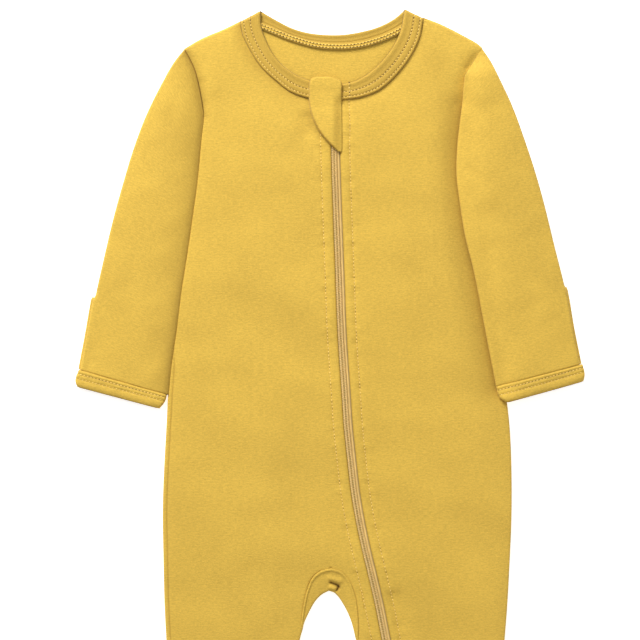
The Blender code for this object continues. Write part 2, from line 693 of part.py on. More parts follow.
def foot_rows(foot, side, inseam, start, edge, columns):
    """Rows of a foot piece from a level of the leg down to the round toe."""
    downs = [start + SEAM_GAP / 2, *(down for down in (FOOT_MIDDLE_DOWN, ANKLE_DOWN) if down > start)]
    ends = [sorted(((side.x_at(down), down), (inseam.x_at(down), down))) for down in downs]
    turns = [0] * len(ends) + [*TOE_TURNS, TOE_TURNS[-1]]
    ends += [foot_ends(foot, turn) for turn in TOE_TURNS]
    ends.append([(x, LENGTH) for x, _ in foot_ends(foot, TOE_END_TURN)])
    rows = []
    for pair, turn in zip(ends, turns):
        beside = slanted(edge, turn)
        rows.append(row_of(straight(*pair), columns, beside, beside))
    return turned_end(rows[::-1], [edge] * columns)[::-1]


def foot_top(foot, side, inseam):
    """The top of a foot, from the ankle seam to the toe."""
    rows = foot_rows(foot, side, inseam, ANKLE_DOWN, front_edge(1.0), FOOT_COLUMNS)
    return [on_layer(rows, front_height)]


def sole(foot, side, inseam):
    """The sole, from the heel seam on the under side to the toe."""
    rows = foot_rows(foot, side, inseam, HEEL_DOWN, back_edge(1.0), FOOT_COLUMNS)
    return [on_layer(rows, back_height)]


# ---------------------------------------------------------------- sleeves, cuffs and mitts


def tube(table, wall, lower, upper, flat_columns, bow=0.0):
    """Closed sections of a flattened tube.

    Args:
        table: the sections, from the tube's start to its end.
        wall: the cloth's thickness.
        lower: function of x, down and share along that gives the under side's middle height.
        upper: function that adds the share across and gives the upper side's middle height.
        flat_columns: number of columns on each flat side.
        bow: how far the first section bends toward the body.
    """
    rings = []
    for index, section in enumerate(table):
        along = index / (len(table) - 1)
        outer = np.array(section[:2])
        chord = np.array(section[2:]) - outer
        length = np.linalg.norm(chord)
        normal = np.array((chord[1], -chord[0])) / length * math.copysign(1.0, -section.outer_x)
        bend = bow * max(0.0, 1.0 - along / BOW_FADE)

        def plan(place):
            share = place / length
            return outer + chord * share + normal * bend * 4.0 * share * (1.0 - share)

        def levels(place):
            x, down = plan(place)
            share = min(place, length - place)
            return lower(x, down, along), upper(x, down, along, share)

        places = flat_places(length, wall, flat_columns)
        ring = [(*plan(place), levels(place)[1]) for place in places]
        low, high = levels(places[-1])
        ring += fold_points(plan, length, wall, low, high, -1.0)
        ring += [(*plan(place), levels(place)[0]) for place in reversed(places)]
        low, high = levels(places[0])
        ring += reversed(fold_points(plan, 0.0, wall, low, high, 1.0))
        rings.append(ring)
    return rings


def flat_places(length, wall, count):
    """Distances along a section where its flat columns lie, between its side folds."""
    inset = wall / 2 + TUBE_RADIUS
    return np.linspace(inset, length - inset, count)


def fold_points(plan, end, wall, low, high, sign):
    """Points of a tube's side fold between its upper and under sides, from the top down."""
    points = []
    for degrees in TUBE_TURNS:
        turn = math.radians(degrees)
        place = end + sign * (wall / 2 + TUBE_RADIUS * (1.0 - math.cos(turn)))
        points.append((*plan(place), (low + high) / 2 + (high - low) / 2 * math.sin(turn)))
    return points


def sleeve(table, base, bow=0.0):
    """A sleeve: flush with the body at the armhole, and over its mitten flap near the cuff."""
    def lower(x, down, along):
        return base(x, down) + MITT_STEP * smoothstep(along, MITT_SHARES)

    def upper(x, down, along, inside):
        puff = SLEEVE_PUFF * (1.0 - math.exp(-((inside / SLEEVE_PUFF_REACH) ** 2)))
        flatter = (1.0 - SLEEVE_PUFF_AT_CUFF) * smoothstep(along, SLEEVE_PUFF_END)
        puff *= smoothstep(along, SLEEVE_PUFF_START) * (1.0 - flatter)
        thinner = (LAYER_STEP - SLEEVE_STEP_AT_CUFF) * smoothstep(along, MITT_SHARES)
        return lower(x, down, along) + LAYER_STEP - thinner + puff

    return tube(table, WALL, lower, upper, SLEEVE_COLUMNS, bow)


def cuff(table, base):
    """A cuff: a bound edge, level with the sleeve and flat on what it lies on."""
    def lower(x, down, along):
        return base(x, down) + (BAND_WALL - WALL) / 2

    def upper(x, down, along, inside):
        return lower(x, down, along) + CUFF_STEP

    return tube(table, BAND_WALL, lower, upper, SLEEVE_COLUMNS)


def mitt(table, base):
    """A mitten flap under the sleeve's last sections, folded up round its outer edge."""
    radius = (MITT_FOLD_TOP - BACK_Z) / 2
    rows = []
    for section in table[-MITT_SECTIONS:]:
        outer, inner = np.array(section[:2]), np.array(section[2:])
        length = np.linalg.norm(inner - outer)
        plan = straight(outer, inner)
        row = []
        for degrees in MITT_TURNS:
            turn = math.radians(degrees)
            x, down = plan((WALL / 2 - MITT_OUT + radius * (1.0 - math.cos(turn))) / length)
            row.append((x, down, base(x, down) + radius * (1.0 + math.sin(turn))))
        places = [WALL / 2 - MITT_OUT + radius, *flat_places(length, WALL, SLEEVE_COLUMNS),
                  length - MITT_IN]
        row += [(x, down, base(x, down)) for x, down in (plan(place / length) for place in places)]
        rows.append(row[::-1])
    return [rows]


# ---------------------------------------------------------------- neckband, tapes, guard, zip


def slid(line, end, outward, distance):
    """The point of a line that lies a distance inside the fold across one of its ends."""
    step = line.at(abs(end - Line.NEAR)) - line.at(end)
    return line.at(end) - step * distance / np.dot(step, outward)


def neck_points(grids, corners):
    """The neck edge of a panel: its first row's points between two values of x."""
    points = []
    for rows in grids:
        points += [point[:2] for point in rows[0]
                   if corners[0] - CORNER_NEAR < point[0] < corners[1] + CORNER_NEAR]
    steps = [math.dist(a, b) > SEAM_GAP for a, b in zip(points, points[1:])]
    return np.array([points[0], *(point for point, apart in zip(points[1:], steps) if apart)])


def band_rows(seam, edge_line, z):
    """Rows of the neckband that follow a panel's neck edge, a seam gap from it."""
    runs = np.concatenate(([0.0], np.cumsum(np.linalg.norm(np.diff(seam, axis=0), axis=1))))
    headings = np.gradient(seam, axis=0)
    headings /= np.linalg.norm(headings, axis=1)[:, None]
    rows = []
    for point, (ahead_x, ahead_down), share in zip(seam, headings, runs / runs[-1]):
        start = point + SEAM_GAP * np.array((ahead_down, -ahead_x))
        stop = edge_line.at(share)
        rows.append([(*(start + (stop - start) * across), z) for across in BAND_ACROSS])
    return rows


def band_fold(seam_lines, edge_lines, ends):
    """Rows of the neckband round the fold at a shoulder, from the front to the back.

    Args:
        seam_lines, edge_lines: the front's and the back's line on each side of the band.
        ends: which end of the front's and of the back's lines the fold is at.
    """
    run = edge_lines[0].at(ends[0]) - seam_lines[0].at(ends[0])
    run /= np.linalg.norm(run)
    outward = np.array((run[1], -run[0]))
    outward *= math.copysign(1.0, -outward[1])
    radius = (BAND_FRONT_Z - BAND_BACK_Z) / 2
    rows = []
    for degrees in BAND_TURNS:
        turn = math.radians(degrees)
        inward = BAND_WALL / 2 + radius * (1.0 - math.cos(turn))
        side = int(degrees < 0)
        start = slid(seam_lines[side], ends[side], outward, inward) + run * SEAM_GAP
        stop = slid(edge_lines[side], ends[side], outward, inward)
        z = BAND_BACK_Z + radius * (1.0 + math.sin(turn))
        rows.append([(*(start + (stop - start) * across), z) for across in BAND_ACROSS])
    return rows


def neckband(front_right_grids, front_left_grids, back_grids):
    """The neckband: a strip from the zip, round the fold at each shoulder, back to the zip."""
    right, left = NECK_RIGHT.at(0.0)[0], NECK_LEFT.at(1.0)[0]
    front_a = neck_points(front_right_grids, (right, NECK_RIGHT.at(1.0)[0]))
    front_b = neck_points(front_left_grids, (NECK_LEFT.at(0.0)[0], left))
    behind = neck_points(back_grids, (right, left))
    rows = band_rows(front_a, BAND_EDGE_RIGHT, BAND_FRONT_Z)[:0:-1]
    rows += band_fold((NECK_RIGHT, NECK_BACK), (BAND_EDGE_RIGHT, BAND_EDGE_BACK), (0.0, 0.0))
    rows += band_rows(behind, BAND_EDGE_BACK, BAND_BACK_Z)[1:-1]
    rows += band_fold((NECK_LEFT, NECK_BACK), (BAND_EDGE_LEFT, BAND_EDGE_BACK), (1.0, 1.0))[::-1]
    rows += band_rows(front_b, BAND_EDGE_LEFT, BAND_FRONT_Z)[-2::-1]
    return [rows]


def neck_tape():
    """The narrow tape over the seam of the back neck."""
    rows = []
    for share in np.linspace(*NECK_TAPE_SPAN, NECK_TAPE_ROWS):
        rows.append([(*NECK_BACK.beside(share, place), NECK_TAPE_Z) for place in NECK_TAPE_ACROSS])
    return [rows]


def zip_tape(sign):
    """One side of the zip's tape, under the folded edge of its front."""
    rows = []
    places = sign * np.linspace(TAPE_START, TAPE_START + TAPE_WIDTH, TAPE_COLUMNS)
    for down in np.linspace(ZIP_TOP_DOWN, ZIP_END_DOWN, TAPE_ROWS):
        xs = ZIP_LINE.x_at(down) + places
        rows.append([(x, down, front_height(x, down) - ZIP_TAPE_BELOW_FRONT) for x in xs])
    return [rows]


def guard_height(x, down):
    """Height of the middle of the guard: over the neckband, the coils and the slider."""
    away = (x - ZIP_LINE.x_at(down)) / GUARD_BUMP_SPAN[0]
    along = (down - GUARD_BUMP_DOWN) / GUARD_BUMP_SPAN[1]
    bump = GUARD_BUMP * math.exp(-(away**4) - along**4)
    return max(GUARD_Z, front_height(x, down) + GUARD_OVER_FRONT) + bump


def zip_guard():
    """The leaf-shaped guard over the top of the zip."""
    rows = []
    for level in GUARD:
        xs = np.linspace(level.free_x, level.sewn_x, GUARD_COLUMNS)
        rows.append([(x, level.down, guard_height(x, level.down)) for x in xs])
    return [rows]


# ---------------------------------------------------------------- objects


def world(x, down, z):
    """A point of the part in metres, with the origin under the middle of its box."""
    return ((x - MIDDLE_X) * MM, (MIDDLE_DOWN - down) * MM, z * MM)


def material(name, finish):
    """A plain material with the finish's colour, roughness and metallic value."""
    made = bpy.data.materials.new(name)
    made.use_nodes = True
    shader = made.node_tree.nodes["Principled BSDF"]
    shader.inputs["Base Color"].default_value = (finish.red, finish.green, finish.blue, 1.0)
    shader.inputs["Roughness"].default_value = finish.roughness
    shader.inputs["Metallic"].default_value = finish.metallic
    return made


def place(data, name, finish, collection):
    """Link an object for a mesh or a curve, with its own material."""
    made = bpy.data.objects.new(name, data)
    data.materials.append(material(name, finish))
    collection.objects.link(made)
    return made


def cloth(name, grids, wall, finish, collection, ring=False):
    """Link a wall of cloth through the middle of one or more grids of (x, down, z) points."""
    mesh = bpy.data.meshes.new(name)
    sheet = bmesh.new()
    for rows in grids:
        points = [[sheet.verts.new(world(*point)) for point in row] for row in rows]
        last = len(rows[0]) if ring else len(rows[0]) - 1
        for upper, lower in zip(points, points[1:]):
            for column in range(last):
                beside = (column + 1) % len(upper)
                sheet.faces.new((upper[column], lower[column], lower[beside], upper[beside]))
    bmesh.ops.remove_doubles(sheet, verts=sheet.verts, dist=WELD)
    sheet.to_mesh(mesh)
    sheet.free()
    mesh.shade_smooth()
    made = place(mesh, name, finish, collection)
    solid = made.modifiers.new("wall", "SOLIDIFY")
    solid.thickness = wall * MM
    solid.offset = 0.0
    return made


def cord(name, points, radius, finish, collection):
    """Link a round cord through (x, down, z) points."""
    data = bpy.data.curves.new(name, "CURVE")
    data.dimensions = "3D"
    data.bevel_depth = radius * MM
    data.bevel_resolution = 1
    data.use_fill_caps = True
    spline = data.splines.new("POLY")
    spline.points.add(len(points) - 1)
    for target, point in zip(spline.points, points):
        target.co = (*world(*point), 1.0)
    return place(data, name, finish, collection)


def plate(name, outline, thickness, finish, collection):
    """Link a flat plate whose outline is given in millimetres in its own plane."""
    data = bpy.data.curves.new(name, "CURVE")
    data.dimensions = "2D"
    data.fill_mode = "BOTH"
    data.extrude = thickness * MM / 2
    spline = data.splines.new("POLY")
    spline.points.add(len(outline) - 1)
    for target, (x, y) in zip(spline.points, outline):
        target.co = (x * MM, y * MM, 0.0, 1.0)
    spline.use_cyclic_u = True
    return place(data, name, finish, collection)


def coil_points(sign):
    """The middle of one coil, from below the slider to the ankle."""
    start = SLIDER_DOWN + SLIDER_LENGTH + SEAM_GAP
    count = round((ZIP_END_DOWN - start) / COIL_STEP)
    points = []
    for down in np.linspace(start, ZIP_END_DOWN, count):
        x = ZIP_LINE.x_at(down) + sign * (COIL_HALF_GAP + COIL_RADIUS)
        tape_top = front_height(x, down) - ZIP_TAPE_BELOW_FRONT + TAPE_WALL / 2
        points.append((x, down, tape_top + SEAM_GAP + COIL_RADIUS))
    return points


def zip_pieces(collection):
    """The tapes, the coils, the slider and its pull."""
    for side, sign in (("right", -1.0), ("left", 1.0)):
        cloth(f"zip_tape_{side}", zip_tape(sign), TAPE_WALL, TAPE_BUFF, collection)
        cord(f"zip_coil_{side}", coil_points(sign), COIL_RADIUS, COIL_BUFF, collection)
    middle_down = SLIDER_DOWN + SLIDER_LENGTH / 2
    x = ZIP_LINE.x_at(middle_down)
    tape_top = front_height(x, SLIDER_DOWN + SLIDER_LENGTH) - ZIP_TAPE_BELOW_FRONT + TAPE_WALL / 2
    neck_foot = tape_top + SEAM_GAP
    plate_foot = neck_foot + 2 * COIL_RADIUS + SEAM_GAP
    plate_top = plate_foot + SLIDER_PLATE
    half, neck = SLIDER_WIDTH / 2, SLIDER_NECK_WIDTH / 2
    profile = ((-neck, neck_foot), (neck, neck_foot), (neck, plate_foot), (half, plate_foot),
               (half, plate_top), (-half, plate_top), (-half, plate_foot), (-neck, plate_foot))
    slider = plate("zip_slider", profile, SLIDER_LENGTH, ENAMEL, collection)
    slider.rotation_euler = (math.pi / 2, 0.0, 0.0)
    slider.location = world(x, middle_down, 0.0)
    end = PULL_WIDTH / 2
    outline = [(end * math.cos(turn), end * (1 + math.sin(turn)) - PULL_LENGTH)
               for turn in np.linspace(math.pi, 2 * math.pi, PULL_END_POINTS)]
    pull = plate("zip_pull", [*outline, (end, 0.0), (-end, 0.0)], PULL_THICK, ENAMEL, collection)
    pull.location = world(ZIP_LINE.x_at(PULL_DOWN), PULL_DOWN, plate_top + SEAM_GAP + PULL_THICK / 2)


def clear_scene():
    """Remove what the scene holds."""
    for item in list(bpy.data.objects):
        bpy.data.objects.remove(item)


def main():
    """Build every piece of the sleepsuit."""
    clear_scene()
    parts = bpy.data.collections.new(OBJECT)
    bpy.context.scene.collection.children.link(parts)
    panels = front_right(), front_left(), back()
    for name, grids in zip(("front_right", "front_left", "back"), panels):
        cloth(name, grids, WALL, OCHRE, parts)
    cloth("neckband", neckband(*panels), BAND_WALL, OCHRE_RIB, parts)
    cloth("gusset", gusset(), WALL, OCHRE, parts)
    cloth("sleeve_right", [sleeve(SLEEVE_RIGHT, back_height, ARMHOLE_BOW)], WALL, OCHRE, parts, True)
    cloth("sleeve_left", [sleeve(SLEEVE_LEFT, lower_height_left)], WALL, OCHRE, parts, True)
    cloth("cuff_right", [cuff(CUFF_RIGHT, back_height)], BAND_WALL, OCHRE, parts, True)
    cloth("cuff_left", [cuff(CUFF_LEFT, lower_height_left)], BAND_WALL, OCHRE, parts, True)
    cloth("mitt_right", mitt(SLEEVE_RIGHT, back_height), WALL, OCHRE, parts)
    cloth("mitt_left", mitt(SLEEVE_LEFT, lower_height_left), WALL, OCHRE, parts)
    cloth("neck_tape", neck_tape(), TAPE_WALL, OCHRE, parts)
    cloth("zip_guard", zip_guard(), GUARD_WALL, OCHRE, parts)
    cloth("foot_top_right", foot_top(FOOT_RIGHT, SIDE_RIGHT, INSEAM_RIGHT), WALL, OCHRE, parts)
    cloth("foot_top_left", foot_top(FOOT_LEFT, SIDE_LEFT, INSEAM_LEFT), WALL, OCHRE, parts)
    cloth("sole_right", sole(FOOT_RIGHT, SIDE_RIGHT, INSEAM_RIGHT), WALL, OCHRE, parts)
    cloth("sole_left", sole(FOOT_LEFT, SIDE_LEFT, INSEAM_LEFT), WALL, OCHRE, parts)
    zip_pieces(parts)


if __name__ == "__main__":
    main()
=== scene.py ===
"""The looks of a footed baby sleepsuit, laid flat on its back with its zip closed.

Sizes are in millimetres. In the tables x runs to the wearer's left from the middle of the part
and down runs from the top of the neckband to the toes; z is the height over the floor. Right and
left are the wearer's. Every piece of cloth is a grid of points through the middle of its wall,
laid between the plan lines of its cut, and then sewn, turned and creased by moving the points
along the cloth's own normals.
"""

import logging
import math
from collections.abc import Callable, Sequence
from dataclasses import dataclass, field
from enum import Enum
from typing import Any

import bmesh
import bpy
import numpy as np
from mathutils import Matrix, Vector, kdtree


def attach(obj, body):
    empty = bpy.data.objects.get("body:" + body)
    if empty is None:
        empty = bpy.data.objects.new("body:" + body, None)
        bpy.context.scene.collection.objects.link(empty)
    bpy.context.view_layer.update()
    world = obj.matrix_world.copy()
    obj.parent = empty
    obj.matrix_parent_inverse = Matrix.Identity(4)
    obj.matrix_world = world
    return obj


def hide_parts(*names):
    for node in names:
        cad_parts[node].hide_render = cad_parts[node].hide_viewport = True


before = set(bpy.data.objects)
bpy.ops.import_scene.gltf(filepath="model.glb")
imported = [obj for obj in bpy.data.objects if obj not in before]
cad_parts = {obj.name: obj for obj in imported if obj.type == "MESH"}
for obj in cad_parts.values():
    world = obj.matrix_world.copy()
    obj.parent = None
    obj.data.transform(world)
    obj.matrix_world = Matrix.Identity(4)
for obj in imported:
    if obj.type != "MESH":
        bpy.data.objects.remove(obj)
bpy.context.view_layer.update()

LOG = logging.getLogger("sleepsuit")
MM = 0.001
Array = np.ndarray
Curve = Callable[[Array], Array]
Colour = tuple[float, float, float]

# The frame: the middle of the part's box, in plan.
MIDDLE_X = 0.15
MIDDLE_DOWN = 320.83
LENGTH = 641.0

# Cloth thicknesses, and the heights of the middle of each layer's wall.
WALL = 1.2
BAND_WALL = 1.6
TAPE_WALL = 1.0
LAYER_STEP = 2.8
BACK_Z = WALL / 2
FRONT_Z = BACK_Z + LAYER_STEP
BAND_FRONT_Z = 4.0
BAND_BACK_Z = BAND_WALL / 2
NECK_TAPE_Z = 2.3

# A side fold climbs from the back layer to the front layer: a quarter turn, an upright stretch
# and a second quarter turn. A seam at a side lies half way up. Tubes have round folds.
FOLD_RADIUS = 1.0
QUARTER = math.pi / 2 * FOLD_RADIUS
UPRIGHT = LAYER_STEP - 2 * FOLD_RADIUS
FOLD_RUN = 2 * QUARTER + UPRIGHT
TUBE_RADIUS = 1.4

# The levels where one piece ends and the next begins.
YOKE_DOWN = 100.0
CROTCH_DOWN = 419.5
HEEL_DOWN = 545.0
ANKLE_DOWN = 586.0
BALL_DOWN = 602.0
ARMPIT_FADE = (78.0, 92.0)
INNER_LEG_FADE = (470.0, 488.0)

# Where the back wraps over the front on the right side.
WRAP = 2.9
WRAP_RISE = (245.0, 275.0)
WRAP_FADE = (515.0, 540.0)

# The zip: how far each folded front edge stands from its middle line, how far its topstitch
# stands from the fold, and its coils.
FOLD_TO_RIGHT = 2.5
FOLD_TO_LEFT = 4.8
STITCH_FROM_RIGHT = 7.4
STITCH_FROM_LEFT = 7.0
ZIP_START_DOWN = 60.0
ZIP_END_DOWN = 582.0
TAPE_BELOW_FRONT = 1.4
TAPE_LOWEST = 1.8
COIL_START_DOWN = 89.0


class Layer(Enum):
    """The two layers of the body, by their share of the climb round a side fold."""

    BACK = 0.0
    FRONT = 1.0

    @property
    def outward(self) -> float:
        """1 for the layer that faces up and -1 for the one that faces down."""
        return 1.0 if self is Layer.FRONT else -1.0


class Side(Enum):
    """The wearer's right and left, by the sign of x."""

    RIGHT = -1.0
    LEFT = 1.0

    @property
    def word(self) -> str:
        """The side's word in the names of pieces."""
        return self.name.lower()


class Slot(Enum):
    """The record's material slots."""

    KNIT = "knit"
    RIB = "rib"
    ZIP_TAPE = "zip_tape"
    ZIP_COIL = "zip_coil"
    ZIP_METAL = "zip_metal"


# ------------------------------------------------------------------------------ plan lines


def smoothstep(value: Any, start: float, stop: float) -> Any:
    """Ease a number or an array of them from 0 at start to 1 at stop."""
    share = np.clip((value - start) / (stop - start), 0.0, 1.0)
    return share * share * (3.0 - 2.0 * share)


def mound(distance: Array, reach: float) -> Array:
    """A soft hump: 1 at a distance of 0, nearly 0 at twice the reach."""
    return np.exp(-((distance / reach) ** 2))


def unit(vectors: Array) -> Array:
    """Vectors made 1 long."""
    return vectors / np.linalg.norm(vectors, axis=-1, keepdims=True)


def places_along(points: Array) -> Array:
    """How far along their line some points lie."""
    return np.concatenate(([0.0], np.cumsum(np.linalg.norm(np.diff(points, axis=0), axis=1))))


def smooth_through(table: Array, steps: int) -> Array:
    """Lay smooth rows between the rows of a table.

    Args:
        table: rows of numbers, one row for each place.
        steps: how many rows stand for each span of the table.

    Returns:
        The rows, with the table's own among them.
    """
    chords = np.linalg.norm(np.diff(table, axis=0), axis=1)
    slopes = np.gradient(table, places_along(table), axis=0)
    t = (np.arange(steps) / steps)[:, None]
    spans = [
        (2 * t**3 - 3 * t**2 + 1) * table[i] + (t**3 - 2 * t**2 + t) * chord * slopes[i]
        + (3 * t**2 - 2 * t**3) * table[i + 1] + (t**3 - t**2) * chord * slopes[i + 1]
        for i, chord in enumerate(chords)
    ]
    return np.vstack([*spans, table[-1:]])


class PlanLine:
    """A smooth line in plan, through a short table with the columns x and down."""

    STEPS = 12
    NEAR = 0.02

    def __init__(self, *table: tuple[float, float]) -> None:
        """Draw the line through its table."""
        self.trace(smooth_through(np.array(table, dtype=float), self.STEPS))

    def trace(self, dense: Array) -> None:
        """Keep closely spaced points and their shares of the line's length."""
        self.dense = dense
        self.length = float(np.linalg.norm(np.diff(dense, axis=0), axis=1).sum())
        self.shares = places_along(dense) / self.length

    def at(self, share: Any) -> Array:
        """The points at an array of shares of the length, or the point at one share."""
        x = np.interp(share, self.shares, self.dense[:, 0])
        return np.stack((x, np.interp(share, self.shares, self.dense[:, 1])), axis=-1)

    def beside(self, share: Any, distance: Any) -> Array:
        """The points at some shares, moved to the side that lies clockwise of the run."""
        ahead = self.at(np.minimum(share + self.NEAR, 1.0))
        run = unit(ahead - self.at(np.maximum(share - self.NEAR, 0.0)))
        return self.at(share) + distance * np.stack((-run[..., 1], run[..., 0]), axis=-1)

    def x_at(self, down: Any) -> Any:
        """The line's x at a level or an array of them, for a line that only runs down."""
        return np.interp(down, self.dense[:, 1], self.dense[:, 0])

    def share_at(self, down: float) -> float:
        """The share of the length at which the line reaches a level."""
        return float(np.interp(down, self.dense[:, 1], self.shares))

    def above(self, down: float) -> Curve:
        """The stretch of the line above a level, as a curve."""
        stop = self.share_at(down)
        return lambda share: self.at(share * stop)

    def then(self, after: "PlanLine") -> "PlanLine":
        """One line along this line and the one that starts where it ends."""
        line = PlanLine(tuple(self.dense[0]), tuple(after.dense[-1]))
        line.trace(np.concatenate((self.dense, after.dense[1:])))
        return line


SHOULDER_RIGHT = PlanLine((-109.5, 30.5), (-95, 22.3), (-80, 16), (-67, 9.5))
SHOULDER_LEFT = PlanLine((70, 7), (82.5, 11.8), (92, 16.4), (103, 22.3), (109.5, 25.9), (114, 29.5))
NECK_RIGHT = PlanLine((-67, 9.5), (-65, 20), (-60, 30.5), (-52, 43), (-41, 53.5), (-30, 62),
                      (-16, 67), (0.3, 68.5))
NECK_LEFT = PlanLine((7.6, 68.4), (22.5, 66.5), (37, 61), (49, 50.5), (59, 38), (67, 22), (70, 7))
NECK_BACK = PlanLine((-67, 9.5), (-52, 14.5), (-40, 19.5), (-25, 25), (-9, 29), (3, 30),
                     (22, 28.8), (38, 24.5), (52.5, 18), (70, 7))
BAND_EDGE_RIGHT = PlanLine((-52.5, 1.5), (-52, 14), (-48, 25), (-40.5, 38), (-30, 47.5),
                           (-15, 54.5), (-0.3, 57))
BAND_EDGE_LEFT = PlanLine((8.4, 57), (17, 55.5), (29, 49), (38, 41), (48, 28), (53, 17.5),
                          (56.5, 0.4))
BAND_EDGE_BACK = PlanLine((-52.5, 1.5), (-40.5, 8.5), (-30, 14), (-19.5, 17.5), (-4, 19.5),
                          (9, 19.5), (22.5, 17.5), (38, 13), (49, 7), (56.5, 0.4))
ARMHOLE_RIGHT = PlanLine((-109.5, 30.5), (-105, 38.5), (-101.5, 46.5), (-99, 56.5), (-97, 67),
                         (-95, 80))
ARMHOLE_LEFT = PlanLine((114, 29.5), (111.3, 34), (108, 39.5), (104.6, 45), (101.3, 51),
                        (101.4, 60), (103, 70), (106, 83.5))
SIDE_RIGHT = PlanLine((-95, 80), (-96.5, 95), (-99.5, 128), (-104, 161.5), (-108.5, 192),
                      (-113.3, 221), (-116.2, 245.5), (-119, 263), (-121.2, 285), (-122.8, 313),
                      (-124.3, 340), (-125.6, 376), (-125, 415), (-124.3, 445), (-122.5, 480),
                      (-119.5, 520), (-116.2, 560), (-114, 586))
SIDE_LEFT = PlanLine((106, 83.5), (110.5, 128), (115.5, 161.5), (119.5, 192), (127, 245.5),
                     (131, 280), (134.8, 313), (136.4, 355), (136.2, 385), (134.9, 415),
                     (133.3, 445), (131, 475), (127.5, 510), (123.5, 550), (120, 586))
ARCH_RIGHT = PlanLine((1, 419.5), (-6, 421), (-12.5, 426.2), (-16.8, 435.5), (-19.2, 445),
                      (-20.6, 454), (-21.6, 462))
ARCH_LEFT = PlanLine((1, 419.5), (7.5, 421.3), (12.2, 425.5), (16, 432), (19, 441), (20.6, 452),
                     (21.3, 463), (21, 472.7))
OPENING_RIGHT = PlanLine((-1, 437), (-6.5, 440), (-12, 446), (-15.4, 452), (-17.8, 457),
                         (-20, 462.3), (-20.7, 465))
OPENING_LEFT = PlanLine((-1, 437), (3.3, 438.5), (6.8, 442), (10.3, 447.5), (13.7, 454),
                        (16.4, 461), (18, 467), (19.4, 473), (20.2, 475.6))
INSEAM_RIGHT = PlanLine((-20.2, 462.6), (-21.4, 468), (-22.8, 474), (-25.5, 487), (-28.5, 504),
                        (-31.8, 524), (-34.8, 552), (-36.8, 586))
INSEAM_LEFT = PlanLine((19.6, 473.2), (21.2, 479), (23.2, 485), (27, 500), (31, 519), (35.5, 549),
                       (38.5, 586))
ZIP_LINE = PlanLine((2.8, 56), (3, 106), (4.4, 150), (6.1, 195), (8, 245), (11, 290), (12.5, 313),
                    (15, 337), (18.6, 367), (25.4, 402.5), (30.8, 425), (36, 447.5), (41, 473),
                    (47, 503), (53, 534), (58, 563), (61.5, 586))
BODY_SIDE_RIGHT = ARMHOLE_RIGHT.then(SIDE_RIGHT)
BODY_SIDE_LEFT = ARMHOLE_LEFT.then(SIDE_LEFT)

# The levels at the side that go with shares along the crotch arch.
ARCH_SHARES = (0.0, 0.14, 0.3, 0.5, 0.75, 1.0)
ARCH_SIDE_DOWNS = (419.5, 423.0, 428.0, 435.5, 449.0, 470.0)


@dataclass(frozen=True)
class FootPlan:
    """The plan of one foot: where its middle and its sides run from the ankle to the toe."""

    ankle_x: float
    toe_x: float
    ball_half: float
    side: PlanLine
    inseam: PlanLine

    def toe(self, turn: Array) -> Array:
        """Points of the round toe, from the right (-90 degrees) by its tip (0) to the left."""
        down = BALL_DOWN + (LENGTH - BALL_DOWN) * np.cos(np.radians(turn))
        share = (down - ANKLE_DOWN) / (LENGTH - ANKLE_DOWN)
        middle = self.ankle_x + (self.toe_x - self.ankle_x) * share
        return np.stack((middle + self.ball_half * np.sin(np.radians(turn)), down), axis=-1)

    @property
    def sides(self) -> tuple[PlanLine, PlanLine]:
        """The foot's edges toward the right and toward the left."""
        return (self.side, self.inseam) if self.ankle_x < 0 else (self.inseam, self.side)


TOE_TURNS = np.linspace(-90.0, 90.0, 61)
FEET = {
    Side.RIGHT: FootPlan(-75.4, -79.5, 40.0, SIDE_RIGHT, INSEAM_RIGHT),
    Side.LEFT: FootPlan(79.25, 83.5, 41.5, SIDE_LEFT, INSEAM_LEFT),
}


# ------------------------------------------------------------------------- how the cloth lies


@dataclass(frozen=True)
class Crease:
    """One soft trough or ridge in the cloth.

    Attributes:
        start_x, start_down, stop_x, stop_down: the ends of its middle line.
        half_width: how far from the line it has faded.
        height: of its middle, below 0 for a trough.
    """

    start_x: float
    start_down: float
    stop_x: float
    stop_down: float
    half_width: float
    height: float

    def lift(self, x: Array, down: Array) -> Array:
        """How much the crease lifts the cloth at each place."""
        run_x, run_down = self.stop_x - self.start_x, self.stop_down - self.start_down
        length = math.hypot(run_x, run_down)
        along = ((x - self.start_x) * run_x + (down - self.start_down) * run_down) / length
        across = ((x - self.start_x) * run_down - (down - self.start_down) * run_x) / length
        past = np.maximum(np.abs(along - length / 2) - length / 2 + self.half_width, 0.0)
        reach = (across / self.half_width) ** 2 + (past / self.half_width) ** 2
        return self.height * np.exp(-reach)


@dataclass(frozen=True)
class Waves:
    """Low uneven waves that cloth keeps when it is smoothed out by hand."""

    height: float
    longest: float
    shortest: float
    count: int
    seed: int

    def lift(self, x: Array, down: Array) -> Array:
        """How much the waves lift the cloth at each place."""
        dice = np.random.default_rng(self.seed)
        lift = np.zeros_like(x)
        for length in np.geomspace(self.longest, self.shortest, self.count):
            heading, phase = dice.uniform(0.0, 2.0 * math.pi, 2)
            place = x * math.cos(heading) + down * math.sin(heading)
            lift += length / self.longest * np.sin(2.0 * math.pi * place / length + phase)
        return lift * self.height / math.sqrt(self.count)


class Outline:
    """Points along some plan lines, which can be searched for the nearest."""

    def __init__(self, points: Array) -> None:
        """Keep the points."""
        self.tree = kdtree.KDTree(len(points))
        for index, (x, down) in enumerate(points):
            self.tree.insert((x, down, 0.0), index)
        self.tree.balance()

    def away(self, x: Array, down: Array) -> Array:
        """How far each place is from the nearest point."""
        places = zip(np.ravel(x), np.ravel(down))
        return np.array([self.tree.find((a, b, 0.0))[2] for a, b in places]).reshape(np.shape(x))


